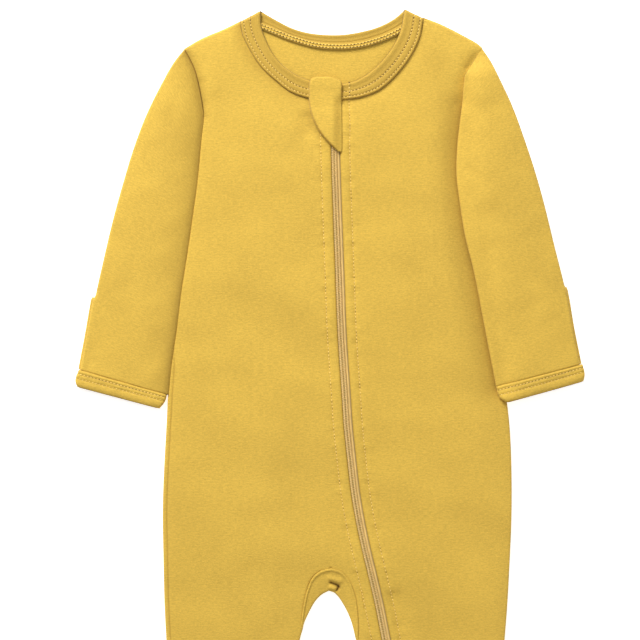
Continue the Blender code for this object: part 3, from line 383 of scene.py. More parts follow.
class Valley:
    """A soft valley in the cloth along a plan line."""

    POINTS = 500

    def __init__(self, line: PlanLine, half_width: float, depth: float) -> None:
        """Keep the line where it can be searched."""
        self.line = Outline(line.at(np.linspace(0.0, 1.0, self.POINTS)))
        self.half_width, self.depth = half_width, depth

    def lift(self, x: Array, down: Array) -> Array:
        """How much the valley lifts the cloth at each place."""
        return -self.depth * mound(self.line.away(x, down), self.half_width)


def creased(creases: Sequence[Crease | Valley], x: Array, down: Array) -> Array:
    """How much a set of creases lifts the cloth at each place."""
    return sum((crease.lift(x, down) for crease in creases), np.zeros_like(x))


# Troughs and ridges, in mm. The tables of painted shade below are shares of a shade, not troughs:
# below 0 the cloth is painted darker, as the shade where it lies against what is beside it.
UNDER_SLEEVE = PlanLine((99.5, 76), (98.5, 82), (97.4, 92.7), (96.2, 111.5), (96.8, 128),
                        (98.7, 143), (101.3, 165), (105, 181), (111, 205), (115.9, 231), (120.7, 255),
                        (126, 284))
FRONT_CREASES = (
    Valley(UNDER_SLEEVE, 10.0, 2.2),
    Valley(NECK_RIGHT, 6.0, 0.7),
    Valley(NECK_LEFT, 6.0, 0.5),
    Valley(ARMHOLE_RIGHT, 4.5, 0.9),
    Crease(100.5, 52.0, 99.0, 74.0, 5.0, -1.0),
    Crease(-96.5, 52.0, -93.5, 76.0, 3.6, -0.9),
    Crease(-90.0, 40.0, -86.5, 66.0, 6.0, 0.5),
    Crease(110.5, 34.0, 101.5, 47.0, 3.0, -1.3),
    Crease(97.0, 34.0, 92.0, 52.0, 7.0, 0.5),
    Crease(-20.0, 78.0, -16.0, 98.0, 5.0, -1.2),
    Crease(-33.0, 84.0, -30.0, 104.0, 7.0, 0.4),
    Crease(47.0, 436.0, 55.0, 478.0, 7.0, -1.5),
    Crease(30.0, 474.0, 38.0, 500.0, 5.0, -0.5),
    Crease(-60.0, 470.0, -45.0, 560.0, 12.0, -0.5),
    Crease(88.0, 500.0, 82.0, 570.0, 12.0, -0.5),
)
PAINTED_SHADE_FRONT = (
    Valley(UNDER_SLEEVE, 16.0, 0.27),
    Valley(UNDER_SLEEVE, 4.0, 0.24),
    Valley(ARMHOLE_RIGHT, 3.5, 0.28),
    Valley(NECK_RIGHT, 7.0, 0.2),
    Valley(NECK_LEFT, 5.0, 0.12),
    Crease(-16.5, 76.0, -13.0, 90.0, 3.4, -0.24),
    Crease(-11.0, 89.0, -2.0, 102.0, 2.6, -0.2),
    Crease(77.0, 28.0, 81.0, 52.0, 9.0, -0.13),
)
PAINTED_SHADE_SLEEVE = (
    Valley(BODY_SIDE_RIGHT, 12.0, 0.2),
    Valley(BODY_SIDE_RIGHT, 3.5, 0.26),
    Crease(-117.0, 72.0, -121.0, 104.0, 13.0, -0.12),
)
GUSSET_CREASES = (
    Crease(-0.5, 430.2, 7.0, 433.4, 1.2, -2.0),
    Crease(7.3, 433.2, 4.0, 438.0, 1.2, -2.0),
    Crease(-1.0, 434.0, 4.2, 436.4, 1.6, 1.1),
    Crease(-2.0, 427.0, 9.0, 429.8, 1.8, 0.8),
)
BACK_CREASES = (
    Crease(-60.0, 150.0, -38.0, 262.0, 9.0, 0.5),
    Crease(-86.0, 262.0, -58.0, 330.0, 7.0, 0.35),
    Crease(64.0, 176.0, 50.0, 286.0, 8.0, 0.45),
    Crease(98.0, 330.0, 76.0, 388.0, 7.0, 0.4),
    Crease(-52.0, 352.0, -18.0, 386.0, 5.5, 0.4),
    Crease(-66.0, 470.0, -50.0, 536.0, 8.0, 0.4),
    Crease(78.0, 486.0, 70.0, 545.0, 7.0, 0.35),
)


class FrontLayer:
    """The height of the front of the body: low at its edges, softly filled and creased inside."""

    ROLL = 0.7
    ROLL_REACH = 5.0
    FILL = 0.9
    FILL_REACH = 20.0
    WAVES = Waves(0.7, 120.0, 34.0, 9, 7)

    def __init__(self) -> None:
        """Keep the garment's edges where they can be searched."""
        lines = (SHOULDER_RIGHT, SHOULDER_LEFT, NECK_RIGHT, NECK_LEFT, ARMHOLE_RIGHT, ARMHOLE_LEFT,
                 SIDE_RIGHT, SIDE_LEFT, OPENING_RIGHT, OPENING_LEFT, INSEAM_RIGHT, INSEAM_LEFT)
        toes = [plan.toe(TOE_TURNS) for plan in FEET.values()]
        self.edges = Outline(np.vstack([line.dense for line in lines] + toes))

    def height(self, x: Array, down: Array) -> Array:
        """The height of the middle of the cloth at each place."""
        x, down = np.asarray(x, dtype=float), np.asarray(down, dtype=float)
        away = self.edges.away(x, down)
        rolled_up = self.ROLL * (1.0 - mound(away, self.ROLL_REACH))
        inside = 1.0 - mound(away, self.FILL_REACH)
        lift = self.FILL + self.WAVES.lift(x, down)
        return FRONT_Z + rolled_up + inside * lift + creased(FRONT_CREASES, x, down)


FRONT = FrontLayer()


def back_height(x: Array, down: Array) -> Array:
    """The height of the middle of the back, on the floor but for a few hollow creases."""
    return BACK_Z + creased(BACK_CREASES, x, down)


# The left sleeve lies on the body from 3 mm outside the body's edge inward, and gets there
# between two levels.
OVERLAP_END = 3.0
OVERLAP_DOWN = (31.0, 53.0)
OVERLAP_CLEAR = 0.4


def over_body_height(x: Array, down: Array, reach: float) -> Array:
    """The height of cloth of the left sleeve, which climbs onto the body within a reach."""
    inward = BODY_SIDE_LEFT.x_at(down) - x
    over = smoothstep(inward, -reach, -OVERLAP_END) * smoothstep(down, *OVERLAP_DOWN)
    return BACK_Z + over * (FRONT.height(x, down) + WALL + OVERLAP_CLEAR - BACK_Z)


# ------------------------------------------------------------------------------ rows and grids


def fold_path(run: Array) -> tuple[Array, Array]:
    """Follow a side fold from the flat back, at a run of 0, round to the front.

    Args:
        run: distances along the cloth; below 0 they lie on the flat back.

    Returns:
        How far in the wall's middle lies from its outermost point, and how much of the step
        between the layers it has climbed.
    """
    upright = np.clip(run - QUARTER, 0.0, UPRIGHT)
    turn = np.clip(run - upright, 0.0, 2 * QUARTER) / FOLD_RADIUS
    past = np.maximum(run - FOLD_RUN, 0.0) + np.maximum(-run, 0.0)
    inward = FOLD_RADIUS * (1.0 - np.sin(turn)) + past
    return inward, (FOLD_RADIUS * (1.0 - np.cos(turn)) + upright) / LAYER_STEP


def rolled(distance: Array, radius: float) -> Array:
    """How far a rounded edge has turned down: 1 at the edge and 0 a radius inside it."""
    inside = 1.0 - np.clip(distance / radius, 0.0, 1.0)
    return 1.0 - np.sqrt(1.0 - inside * inside)


def wrapped(down: float) -> float:
    """How much of its wrap over the front the back has at a level of the right side."""
    return float(smoothstep(down, *WRAP_RISE) * (1.0 - smoothstep(down, *WRAP_FADE)))


def wrap_run(down: float) -> float:
    """Where the right side's seam lies round the fold."""
    return FOLD_RUN / 2 + wrapped(down) * (FOLD_RUN / 2 + WRAP - FOLD_RADIUS)


# Distances at which columns stand beside a seam, a wrap, the zip's folded edge and its stitches.
SEAM_NEAR = (0.0, 0.25, 0.55, 0.9, 1.3, 1.8, 2.5, 3.4, 4.6)
WRAP_NEAR = (0.0, 0.3, 0.7, 1.2, 1.9, 2.4, 2.9, 3.4, 3.9, 4.4, 4.9, 5.4, 5.9, 6.8)
FOLD_NEAR = (0.0, 0.25, 0.55, 0.9, 1.4, 2.2, 3.4, 4.6)
STITCH_NEAR = (-1.3, -0.6, 0.0, 0.6, 1.4)
STITCH_COLUMN = len(FOLD_NEAR) + STITCH_NEAR.index(0.0)


@dataclass(frozen=True)
class Edge:
    """One end of a row of cloth.

    Attributes:
        near: distances from the edge at which the columns beside it stand.
        folded: 0 where the edge meets its neighbour flat, 1 where it lies in the side fold.
        start: where the edge lies round the fold, from the flat back.
        layer: the layer that the row belongs to.
        sink: how deep the edge is drawn into its seam.
        radius: how far inside the edge the cloth has come up again.
        crowd: 1 where the columns keep their distances, 0 where they spread evenly.
    """

    near: tuple[float, ...] = SEAM_NEAR
    folded: float = 0.0
    start: float = FOLD_RUN / 2
    layer: Layer = Layer.FRONT
    sink: float = 0.7
    radius: float = 1.2
    crowd: float = 1.0

    @property
    def slack(self) -> float:
        """How much more cloth the fold takes than its plan shows."""
        run = FOLD_RUN - self.start if self.layer is Layer.FRONT else self.start
        return self.folded * (run - FOLD_RADIUS - WALL / 2)

    def turned(self, distance: Array) -> tuple[Array, Array]:
        """How far in plan, and how high over the layer, the cloth lies at some distances."""
        inward, climbed = fold_path(self.start + self.layer.outward * distance)
        plan = distance + self.folded * (inward + WALL / 2 - distance)
        return plan, self.folded * (climbed - self.layer.value) * LAYER_STEP

    def sunk(self, distance: Array) -> Array:
        """How deep the cloth is drawn into the seam at some distances from the edge."""
        return self.sink * rolled(distance, self.radius)


def zip_edge(stitched: float) -> Edge:
    """The folded front edge beside the zip, with its columns close together at its stitches."""
    return Edge((*FOLD_NEAR, *(stitched + step for step in STITCH_NEAR)), sink=0.9, radius=1.4)


def plain_edge(layer: Layer) -> Edge:
    """An edge where two grids of one piece of cloth meet."""
    return Edge(SEAM_NEAR, layer=layer, sink=0.0, crowd=0.0)


ROW_SAMPLES = 33


def lay_row(curve: Curve, count: int, start: Edge, stop: Edge) -> Array:
    """Place the columns of one row of cloth.

    Args:
        curve: the row's plan line.
        count: number of columns.
        start: the row's first end.
        stop: the row's last end.

    Returns:
        A row of x, down, rise over the layer, depth in a seam, and distance from the first end.
    """
    trial = curve(np.linspace(0.0, 1.0, ROW_SAMPLES))
    width = np.linalg.norm(np.diff(trial, axis=0), axis=1).sum()
    length = width + start.slack + stop.slack
    first, last = np.array(start.near), length - np.array(stop.near[::-1])
    between = count - len(first) - len(last) + 2
    middle = np.linspace(first[-1], last[0], between)
    crowded = np.concatenate((first[:-1], middle, last[1:]))
    even = np.linspace(0.0, length, count)
    ends = (len(first) - 1, count - len(last))
    run = even + np.interp(np.arange(count), ends, (start.crowd, stop.crowd)) * (crowded - even)
    plan_start, rise_start = start.turned(run)
    plan_stop, rise_stop = stop.turned(length - run)
    place = np.where(run < length / 2, plan_start, width - plan_stop)
    sunk = start.sunk(run) + stop.sunk(length - run)
    return np.column_stack((curve(place / width), rise_start + rise_stop, sunk, run))


def straight(start: Array, stop: Array) -> Curve:
    """The straight line between two plan points, as a curve."""
    a, b = np.asarray(start, dtype=float), np.asarray(stop, dtype=float)
    return lambda share: a + np.asarray(share)[..., None] * (b - a)


def stretch(curve: Curve, start: float, stop: float) -> Curve:
    """The stretch of a curve between two shares."""
    return lambda share: curve(start + np.asarray(share) * (stop - start))


def end_to_end(curves: Sequence[Curve], corners: Sequence[float]) -> Curve:
    """Curves in one, which meet at given shares."""
    marks = (0.0, *corners, 1.0)

    def curve(share: Array) -> Array:
        """The points at some shares of all the curves."""
        share = np.asarray(share, dtype=float)[..., None]
        points = curves[0](np.clip(share[..., 0] / marks[1], 0.0, 1.0))
        for part, start, stop in zip(curves[1:], marks[1:], marks[2:]):
            place = np.clip((share[..., 0] - start) / (stop - start), 0.0, 1.0)
            points = np.where(share < start, points, part(place))
        return points
    return curve


def across_patch(top: Curve, side_a: Curve, side_b: Curve, along: float) -> Curve:
    """One line across a smooth patch with a straight foot, at a share of the way down."""
    start, stop = side_a(np.array(1.0)), side_b(np.array(1.0))
    foot = straight(start, stop)

    def curve(share: Array) -> Array:
        """The points at some shares across the patch."""
        a = np.asarray(share)[..., None]
        corners = ((1 - a) * (1 - along) * top(np.array(0.0)) + a * (1 - along) * top(np.array(1.0))
                   + (1 - a) * along * start + a * along * stop)
        sides = (1 - a) * side_a(np.array(along)) + a * side_b(np.array(along))
        return (1 - along) * top(share) + along * foot(share) + sides - corners
    return curve


MOST_OF_GAP = 0.85


def turn_end(rows: Array, edge: Edge, folded: Array) -> Array:
    """Turn the first row of a stack into the rows of its end edge, short of the second row.

    Args:
        rows: rows of columns, as lay_row gives them.
        edge: the end edge.
        folded: for each column, 1 where the end edge lies in a fold and 0 where it is flat.

    Returns:
        The rows, with one more for each further distance beside the edge.
    """
    first, toward = rows[0], rows[1, :, :2] - rows[0, :, :2]
    gap = np.linalg.norm(toward, axis=1)
    fold = Edge(near=edge.near, start=edge.start, layer=edge.layer, folded=1.0)
    turned = []
    for distance in edge.near:
        fold_in, rise = fold.turned(np.array(distance))
        inward = np.minimum(distance + folded * (fold_in - distance),
                            MOST_OF_GAP * gap * distance / edge.near[-1])
        row = first.copy()
        row[:, :2] += toward * (inward / gap)[:, None]
        end_rise = rise * folded
        row[:, 2] = np.where(np.abs(end_rise) > np.abs(row[:, 2]), end_rise, row[:, 2])
        turned.append(row)
    return np.concatenate((np.stack(turned), rows[1:]))


def sink_end(rows: Array, depth: float, radius: float, where: Array) -> Array:
    """Draw the first rows of a stack into a seam, at the columns where it is 1."""
    steps = np.linalg.norm(np.diff(rows[..., :2], axis=0), axis=2)
    distance = np.vstack((np.zeros(rows.shape[1]), np.cumsum(steps, axis=0)))
    rows[..., 3] = np.maximum(rows[..., 3], depth * rolled(distance, radius) * where)
    return rows


class Grid:
    """A surface of cloth: the middle of its wall, and how far the sewing moves it."""

    def __init__(self, plan: Array, z: Array, lift: Array | float = 0.0,
                 shade: Array | float = 0.0, outward: float = 1.0, ring: bool = False,
                 grain: Array | None = None) -> None:
        """Keep the points.

        Args:
            plan: x and down of each row and column.
            z: heights of the wall's middle.
            lift: how far each point moves out of the cloth.
            shade: 0 to 1, how much painted shade darkens each point, for its depth in a seam or a
                fold.
            outward: 1 where rows running down and columns running to the left face up, else -1.
            ring: whether the last column meets the first.
            grain: for each point, its places along and across the knit's rows of stitches.
        """
        self.points = np.dstack((plan[..., 0] - MIDDLE_X, MIDDLE_DOWN - plan[..., 1], z))
        self.lift = np.broadcast_to(lift, z.shape)
        self.shade = np.broadcast_to(shade, z.shape)
        self.outward, self.ring = outward, ring
        self.grain = plan if grain is None else grain

    @property
    def normals(self) -> Array:
        """The outward normals of the smooth cloth."""
        points = self.points
        if self.ring:
            points = np.concatenate((points[:, -1:], points, points[:, :1]), axis=1)
        across = np.gradient(points, axis=1)
        if self.ring:
            across = across[:, 1:-1]
        normals = np.cross(np.gradient(self.points, axis=0), across) * self.outward
        return normals / np.maximum(np.linalg.norm(normals, axis=2, keepdims=True), 1e-9)

    def moved(self, out: float = 0.0) -> Array:
        """The points where the sewing leaves them, and a distance further out."""
        return self.points + self.normals * (self.lift + out)[..., None]

    @property
    def area(self) -> float:
        """The area of the smooth cloth, in square metres."""
        p = self.points
        if self.ring:
            p = np.concatenate((p, p[:, :1]), axis=1)
        a, b = p[1:, 1:] - p[:-1, :-1], p[1:, :-1] - p[:-1, 1:]
        return float(np.linalg.norm(np.cross(a, b), axis=2).sum() / 2) * MM * MM


def grid_of(rows: Array, height: Curve, lift: Array | float = 0.0,
            outward: float = 1.0) -> Grid:
    """A grid from rows as lay_row gives them, on a layer of a given height."""
    x, down, rise, sunk = (rows[..., k] for k in range(4))
    # The depth in a seam also paints the cloth darker, as painted shade.
    shade = np.clip(sunk, 0.0, 1.0)
    return Grid(rows[..., :2], height(x, down) + rise, lift - sunk, shade, outward)


def front_grid(rows: Array, lift: Array | float = 0.0) -> Grid:
    """A grid of the front of the body, painted darker as shade where it lies against its neighbours.
    """
    grid = grid_of(rows, FRONT.height, lift)
    # Painted shade: the front is painted darker beside the sleeve, the armhole and the neck.
    grid.shade = np.clip(grid.shade - creased(PAINTED_SHADE_FRONT, rows[..., 0], rows[..., 1]), 0.0, 1.0)
    return grid


# ------------------------------------------------------------------------------ objects


@dataclass(frozen=True)
class Cut:
    """The flat piece that a maker cuts: its width and its length."""

    width: float
    length: float


class Workroom:
    """Where finished pieces are put on the frame."""

    # The vertex attribute of painted shade: how much darker the finishes paint each point.
    SHADE = "painted_shade"
    GRAIN = "grain_place"
    WELD = 0.04

    def __init__(self) -> None:
        """Open the collection that the pieces go into."""
        self.collection = bpy.data.collections.new("sleepsuit_looks")
        bpy.context.scene.collection.children.link(self.collection)

    def mesh_of(self, name: str, grids: Sequence[Grid]) -> bpy.types.Mesh:
        """A mesh of one or more grids, sewn together where their edges meet."""
        mesh = bpy.data.meshes.new(name)
        cloth = bmesh.new()
        shading = cloth.verts.layers.float.new(self.SHADE)
        grain = cloth.verts.layers.float_vector.new(self.GRAIN)
        for grid in grids:
            points = (grid.moved() * MM).tolist()
            verts = []
            for places, shades, grains in zip(points, grid.shade.tolist(), grid.grain.tolist()):
                verts.append([])
                for place, shade, (along, across) in zip(places, shades, grains):
                    vert = cloth.verts.new(place)
                    vert[shading] = shade
                    vert[grain] = Vector((along, across, 0.0))
                    verts[-1].append(vert)
            columns = len(verts[0]) if grid.ring else len(verts[0]) - 1
            for upper, lower in zip(verts, verts[1:]):
                for column in range(columns):
                    beside = (column + 1) % len(upper)
                    quad = (upper[column], lower[column], lower[beside], upper[beside])
                    cloth.faces.new(quad if grid.outward > 0 else quad[::-1])
        bmesh.ops.remove_doubles(cloth, verts=cloth.verts, dist=self.WELD * MM)
        cloth.to_mesh(mesh)
        cloth.free()
        mesh.shade_smooth()
        return mesh

    def add(self, data: Any, finishes: Sequence[bpy.types.Material], slot: Slot,
            nodes: Sequence[str] = ()) -> bpy.types.Object:
        """Put one object on the frame.

        Args:
            data: its mesh or curve, whose name it takes.
            finishes: its finishes.
            slot: the record's material slot; not used.
            nodes: the CAD nodes that it stands for.

        Returns:
            The object.
        """
        made = bpy.data.objects.new(data.name, data)
        for finish in finishes:
            data.materials.append(finish)
        self.collection.objects.link(made)
        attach(made, "root")
        if nodes:
            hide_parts(*nodes)
        LOG.info("%s: %d faces", made.name, len(getattr(data, "polygons", ())))
        return made

    def sew(self, node: str, grids: Sequence[Grid], wall: float, cut: Cut,
            finish: bpy.types.Material, slot: Slot = Slot.KNIT) -> bpy.types.Object:
        """Make one piece of cloth and stand it for its node.

        Args:
            node: the CAD node that the piece stands for.
            grids: the surfaces of its cloth.
            wall: the cloth's thickness.
            cut: the flat piece; not used.
            finish: its finish.
            slot: the record's material slot.

        Returns:
            The piece.
        """
        made = self.add(self.mesh_of(f"{node}_cloth", grids), (finish,), slot, (node,))
        thicken = made.modifiers.new("wall", "SOLIDIFY")
        thicken.thickness = wall * MM
        thicken.offset = 0.0
        area = sum(grid.area for grid in grids)
        return made


@dataclass(frozen=True)
class Seam:
    """A line of stitches: points on the cloth, the normals there and a slant in degrees."""

    points: Array
    normals: Array
    slant: float = 0.0

    NEAR = 0.4

    def spaced(self, pitch: float) -> tuple[Array, Array, Array]:
        """The middles, the directions and the normals of stitches a pitch apart."""
        places = places_along(self.points)
        wanted = np.arange(pitch / 2, places[-1], pitch)

        def sampled(values: Array, where: Array) -> Array:
            """The values at some places along the line."""
            return np.stack([np.interp(where, places, values[:, k]) for k in range(3)], axis=1)

        normals = unit(sampled(self.normals, wanted))
        run = sampled(self.points, wanted + self.NEAR) - sampled(self.points, wanted - self.NEAR)
        ahead = unit(run - (run * normals).sum(axis=1, keepdims=True) * normals)
        turn = math.radians(self.slant)
        ahead = ahead * math.cos(turn) + np.cross(normals, ahead) * math.sin(turn)
        return sampled(self.points, wanted), ahead, normals


def circles(sides: int, first: Array, second: Array) -> Array:
    """Steps from the middles of circles to the points round them, from one axis to the other."""
    turns = np.linspace(0.0, 2.0 * math.pi, sides, endpoint=False)[:, None]
    return np.cos(turns) * first[:, None] + np.sin(turns) * second[:, None]


def tube_faces(index: Array) -> list[list[int]]:
    """The faces of some tubes, from the numbers of their points by ring and place round it."""
    near, far = index[..., :-1, :], index[..., 1:, :]
    faces = np.stack((near, np.roll(near, -1, -1), np.roll(far, -1, -1), far), axis=-1)
    return faces.reshape(-1, 4).tolist()


@dataclass(frozen=True)
class Stitching:
    """Rows of machine stitches: a short arc of thread for each, and between them a dark disc of
    painted shade for each needle hole.

    Attributes:
        radius: the thread's radius.
        hole_size: half the length and half the width of a needle hole.
        above: how far over the cloth the dark disc of painted hole shade lies.
    """

    radius: float
    hole_size: tuple[float, float]
    above: float

    PITCH = 2.6
    SHARE = 0.56
    SIDES = 6
    HEIGHTS = (-0.2, 0.18, 0.32, 0.18, -0.2)

    def mesh(self, name: str, seams: Sequence[Seam]) -> bpy.types.Mesh:
        """A mesh of all the stitches of some seams, the dark discs of painted hole shade in its
        second material.
        """
        middles, ahead, normals = (np.concatenate(parts)
                                   for parts in zip(*(seam.spaced(self.PITCH) for seam in seams)))
        beside = np.cross(normals, ahead)
        reach = np.linspace(-0.5, 0.5, len(self.HEIGHTS)) * self.PITCH * self.SHARE
        rings = (middles[:, None] + reach[:, None] * ahead[:, None]
                 + np.array(self.HEIGHTS)[:, None] * normals[:, None])
        thread = rings[:, :, None] + self.radius * circles(self.SIDES, beside, normals)[:, None]
        index = np.arange(thread[..., 0].size).reshape(thread.shape[:3])
        faces = tube_faces(index)
        # The needle holes are dark discs of painted shade, laid just over the cloth.
        length, width = self.hole_size
        around = circles(self.SIDES, length * ahead, width * beside)
        holes = (middles + ahead * self.PITCH / 2)[:, None] + around + self.above * normals[:, None]
        hole_faces = index.size + np.arange(holes[..., 0].size).reshape(holes.shape[:2])
        mesh = bpy.data.meshes.new(name)
        every = np.concatenate((thread.reshape(-1, 3), holes.reshape(-1, 3))) * MM
        mesh.from_pydata(every.tolist(), [], faces + hole_faces.tolist())
        slots = np.repeat((0, 1), (len(faces), len(holes)))
        mesh.polygons.foreach_set("material_index", slots)
        mesh.shade_smooth()
        return mesh


# ------------------------------------------------------------------------------ finishes


class Value:
    """One output of a shader node, with the arithmetic that the finishes use."""

    def __init__(self, tree: "ShaderTree", socket: Any) -> None:
        """Wrap an output of a tree's node."""
        self.tree, self.socket = tree, socket

    def math(self, operation: str, *values: Any) -> "Value":
        """The result of a Math node on some values."""
        return self.tree.add("ShaderNodeMath", {"operation": operation}, dict(enumerate(values)))

    def __add__(self, other: Any) -> "Value":
        """Add a value."""
        return self.math("ADD", self, other)

    __radd__ = __add__

    def __mul__(self, other: Any) -> "Value":
        """Multiply by a value."""
        return self.math("MULTIPLY", self, other)

    __rmul__ = __mul__

    def sine(self, length: float) -> "Value":
        """A sine wave of a given length along this value."""
        return self.math("SINE", self * (2.0 * math.pi / length))

    def between(self, start: float, stop: float) -> "Value":
        """Ease from 0 where this is start to 1 where it is stop."""
        settings = {"interpolation_type": "SMOOTHSTEP"}
        return self.tree.add("ShaderNodeMapRange", settings, {0: self, 1: start, 2: stop})


class ShaderTree:
    """The nodes of one material, round its main shader."""

    def __init__(self, name: str) -> None:
        """Start a material."""
        self.material = bpy.data.materials.new(name)
        self.material.use_nodes = True
        self.nodes, self.links = self.material.node_tree.nodes, self.material.node_tree.links
        self.shader = self.nodes["Principled BSDF"]

    def add(self, kind: str, settings: dict[str, Any], sockets: dict[Any, Any],
            output: int = 0) -> Value:
        """Add a node.

        Args:
            kind: the node's type.
            settings: its properties, which are set first.
            sockets: values or links of its inputs, by name or number.
            output: which of its outputs is wanted.

        Returns:
            That output.
        """
        node = self.nodes.new(kind)
        for name, value in settings.items():
            setattr(node, name, value)
        for key, value in sockets.items():
            self.feed(node.inputs[key], value)
        return Value(self, node.outputs[output])

    def feed(self, socket: Any, value: Any) -> None:
        """Link a value to an input, or set the input."""
        if isinstance(value, Value):
            self.links.new(value.socket, socket)
        else:
            socket.default_value = value

    def mix(self, factor: Value, first: Any, second: Any) -> Value:
        """Mix two colours."""
        settings = {"data_type": "RGBA"}
        return self.add("ShaderNodeMix", settings, {0: factor, 6: first, 7: second}, 2)

    def noise(self, place: Value, scale: float, detail: float = 2.0) -> Value:
        """The noise at a place, about 0.5."""
        sockets = {"Vector": place, "Scale": scale, "Detail": detail}
        return self.add("ShaderNodeTexNoise", {}, sockets)

    def stretched(self, place: Value, along: float, across: float) -> Value:
        """A place, scaled along and across the grain."""
        return self.add("ShaderNodeMapping", {}, {"Vector": place, "Scale": (along, across, 1.0)})

    def grain(self) -> tuple[Value, Value, Value]:
        """The place in the cloth, and its parts along and across the rows of stitches."""
        place = self.add("ShaderNodeAttribute", {"attribute_name": Workroom.GRAIN}, {}, 1)
        along = self.add("ShaderNodeSeparateXYZ", {}, {0: place})
        return place, along, Value(self, along.socket.node.outputs[1])

    def painted_shade(self) -> Value:
        """How much painted shade darkens a place, for its depth in a seam or a fold."""
        return self.add("ShaderNodeAttribute", {"attribute_name": Workroom.SHADE}, {}, 2)

    def tinted(self, factor: Value, colour: Colour, dark: float, light: float) -> Value:
        """A colour that runs from a darker and warmer share of itself to a lighter one."""
        return self.mix(factor, toned(colour, dark, 0.02), toned(colour, light))

    def bump(self, strength: float, depth: float, height: Value) -> Value:
        """The normals of a relief some millimetres deep."""
        sockets = {"Strength": strength, "Distance": depth * MM, "Height": height}
        return self.add("ShaderNodeBump", {}, sockets)

    def finish(self, **sockets: Any) -> bpy.types.Material:
        """Set or link the main shader's inputs, with _ for each space, and give the material."""
        for name, value in sockets.items():
            self.feed(self.shader.inputs[name.replace("_", " ")], value)
        return self.material


def toned(colour: Colour, share: float, warm: float = 0.0) -> tuple[float, float, float, float]:
    """A colour made darker or lighter by a share, and warmer."""
    red, green, blue = colour
    return (red * share, green * share * (1.0 - warm), blue * share * (1.0 - 2.0 * warm), 1.0)


@dataclass(frozen=True)
class Knit:
    """Jersey knit: fine V-shaped stitches, broken streaks along its rows and a slow mottle, with
    painted shade in seams and folds.
    """

    name: str
    colour: Colour
    rib: float = 0.0
    streaks: float = 1.0

    WALE = 0.75
    COURSE = 0.62
    STITCH_DEPTH = 0.08
    STREAK_SCALE = (0.26, 0.95)
    FLECK_SCALE = (0.7, 1.5)
    MOTTLE_SCALE = (0.022, 0.034)

    def material(self) -> bpy.types.Material:
        """Build the finish."""
        tree = ShaderTree(self.name)
        place, along, across = tree.grain()
        depth = tree.painted_shade()
        streak = tree.noise(tree.stretched(place, *self.STREAK_SCALE), 1.0, 3.0)
        fleck = tree.noise(tree.stretched(place, *self.FLECK_SCALE), 1.0, 2.0)
        mottle = tree.noise(tree.stretched(place, *self.MOTTLE_SCALE), 1.0)
        tone = streak * (0.35 * self.streaks) + fleck * 0.4 + mottle * 0.2
        middle = 0.175 * self.streaks + 0.3
        tint = tree.tinted(tone.between(middle - 0.2, middle + 0.2), self.colour, 0.81, 1.16)
        # Painted shade: places deep in seams, creases and beside their neighbours are painted darker
        # and warmer.
        colour = tree.mix(depth * 1.1, tint, toned(self.colour, 0.28, 0.22))
        wale = along.sine(self.WALE)
        course = (across + wale.math("ABSOLUTE", wale) * (0.5 * self.COURSE)).sine(self.COURSE)
        relief = course * 0.5 + wale * 0.35
        if self.rib:
            relief = relief * 0.4 + along.sine(self.rib) * 1.6
        fuzz = tree.noise(place, 1.3, 3.0)
        height = relief * 0.5 + fuzz * 5.5 + streak * (1.6 * self.streaks)
        bump = tree.bump(0.55, self.STITCH_DEPTH, height)
        return tree.finish(Base_Color=colour, Roughness=fleck * 0.16 + 0.78, Normal=bump,
                           Sheen_Weight=0.22, Sheen_Roughness=0.45,
                           Sheen_Tint=(1.0, 0.86, 0.55, 1.0), Specular_IOR_Level=0.25)


@dataclass(frozen=True)
class WovenTape:
    """Plain woven tape with fine ribs along its length."""

    name: str
    colour: Colour

    WARP = 0.62
    WEFT = 0.5
    THREAD_DEPTH = 0.12

    def material(self) -> bpy.types.Material:
        """Build the finish."""
        tree = ShaderTree(self.name)
        place, across, along = tree.grain()
        warp, weft = across.sine(self.WARP), along.sine(self.WEFT)
        patchy = tree.noise(tree.stretched(place, 0.5, 0.12), 1.0)
        tint = tree.tinted(patchy.between(0.3, 0.7), self.colour, 0.88, 1.08)
        # Painted shade: the furrows between the warp ribs are painted darker.
        woven = tree.mix(warp.between(-1.0, -0.1), toned(self.colour, 0.72, 0.05), tint)
        # Painted shade: the tape is painted darker under the folded edges and at its turned edges.
        colour = tree.mix(tree.painted_shade() * 0.8, woven, toned(self.colour, 0.3, 0.1))
        bump = tree.bump(0.5, self.THREAD_DEPTH, warp + weft * 0.6)
        return tree.finish(Base_Color=colour, Roughness=patchy * 0.2 + 0.62, Normal=bump,
                           Sheen_Weight=0.15)


@dataclass(frozen=True)
class Cord:
    """Thread, moulded coil, enamel or the painted shade of needle holes: a plain colour with slight
    changes from place to place.
    """

    name: str
    colour: Colour
    roughness: float
    scale: float = 900.0

    def material(self) -> bpy.types.Material:
        """Build the finish."""
        tree = ShaderTree(self.name)
        place = tree.add("ShaderNodeTexCoord", {}, {}, 3)
        patchy = tree.noise(place, self.scale)
        colour = tree.tinted(patchy.between(0.3, 0.7), self.colour, 0.82, 1.12)
        return tree.finish(Base_Color=colour, Roughness=patchy * 0.2 + (self.roughness - 0.1))


class Finishes:
    """The finishes of all the pieces."""

    def __init__(self) -> None:
        """Build them."""
        self.knit = Knit("jersey_knit", (0.7, 0.455, 0.07)).material()
        self.rib = Knit("band_rib", (0.57, 0.36, 0.057), rib=1.5, streaks=0.5).material()
        self.tape = WovenTape("woven_tape", (0.9, 0.62, 0.21)).material()
        self.coil = Cord("nylon_coil", (0.95, 0.7, 0.28), 0.42).material()
        self.thread = Cord("sewing_thread", (0.92, 0.66, 0.18), 0.6, 1500.0).material()
        # Painted shade: the dark finish of the needle holes.
        self.hole = Cord("needle_hole_painted_shade", (0.17, 0.09, 0.02), 0.9).material()
        self.enamel = Cord("zip_enamel", (0.6, 0.38, 0.07), 0.38, 60.0).material()


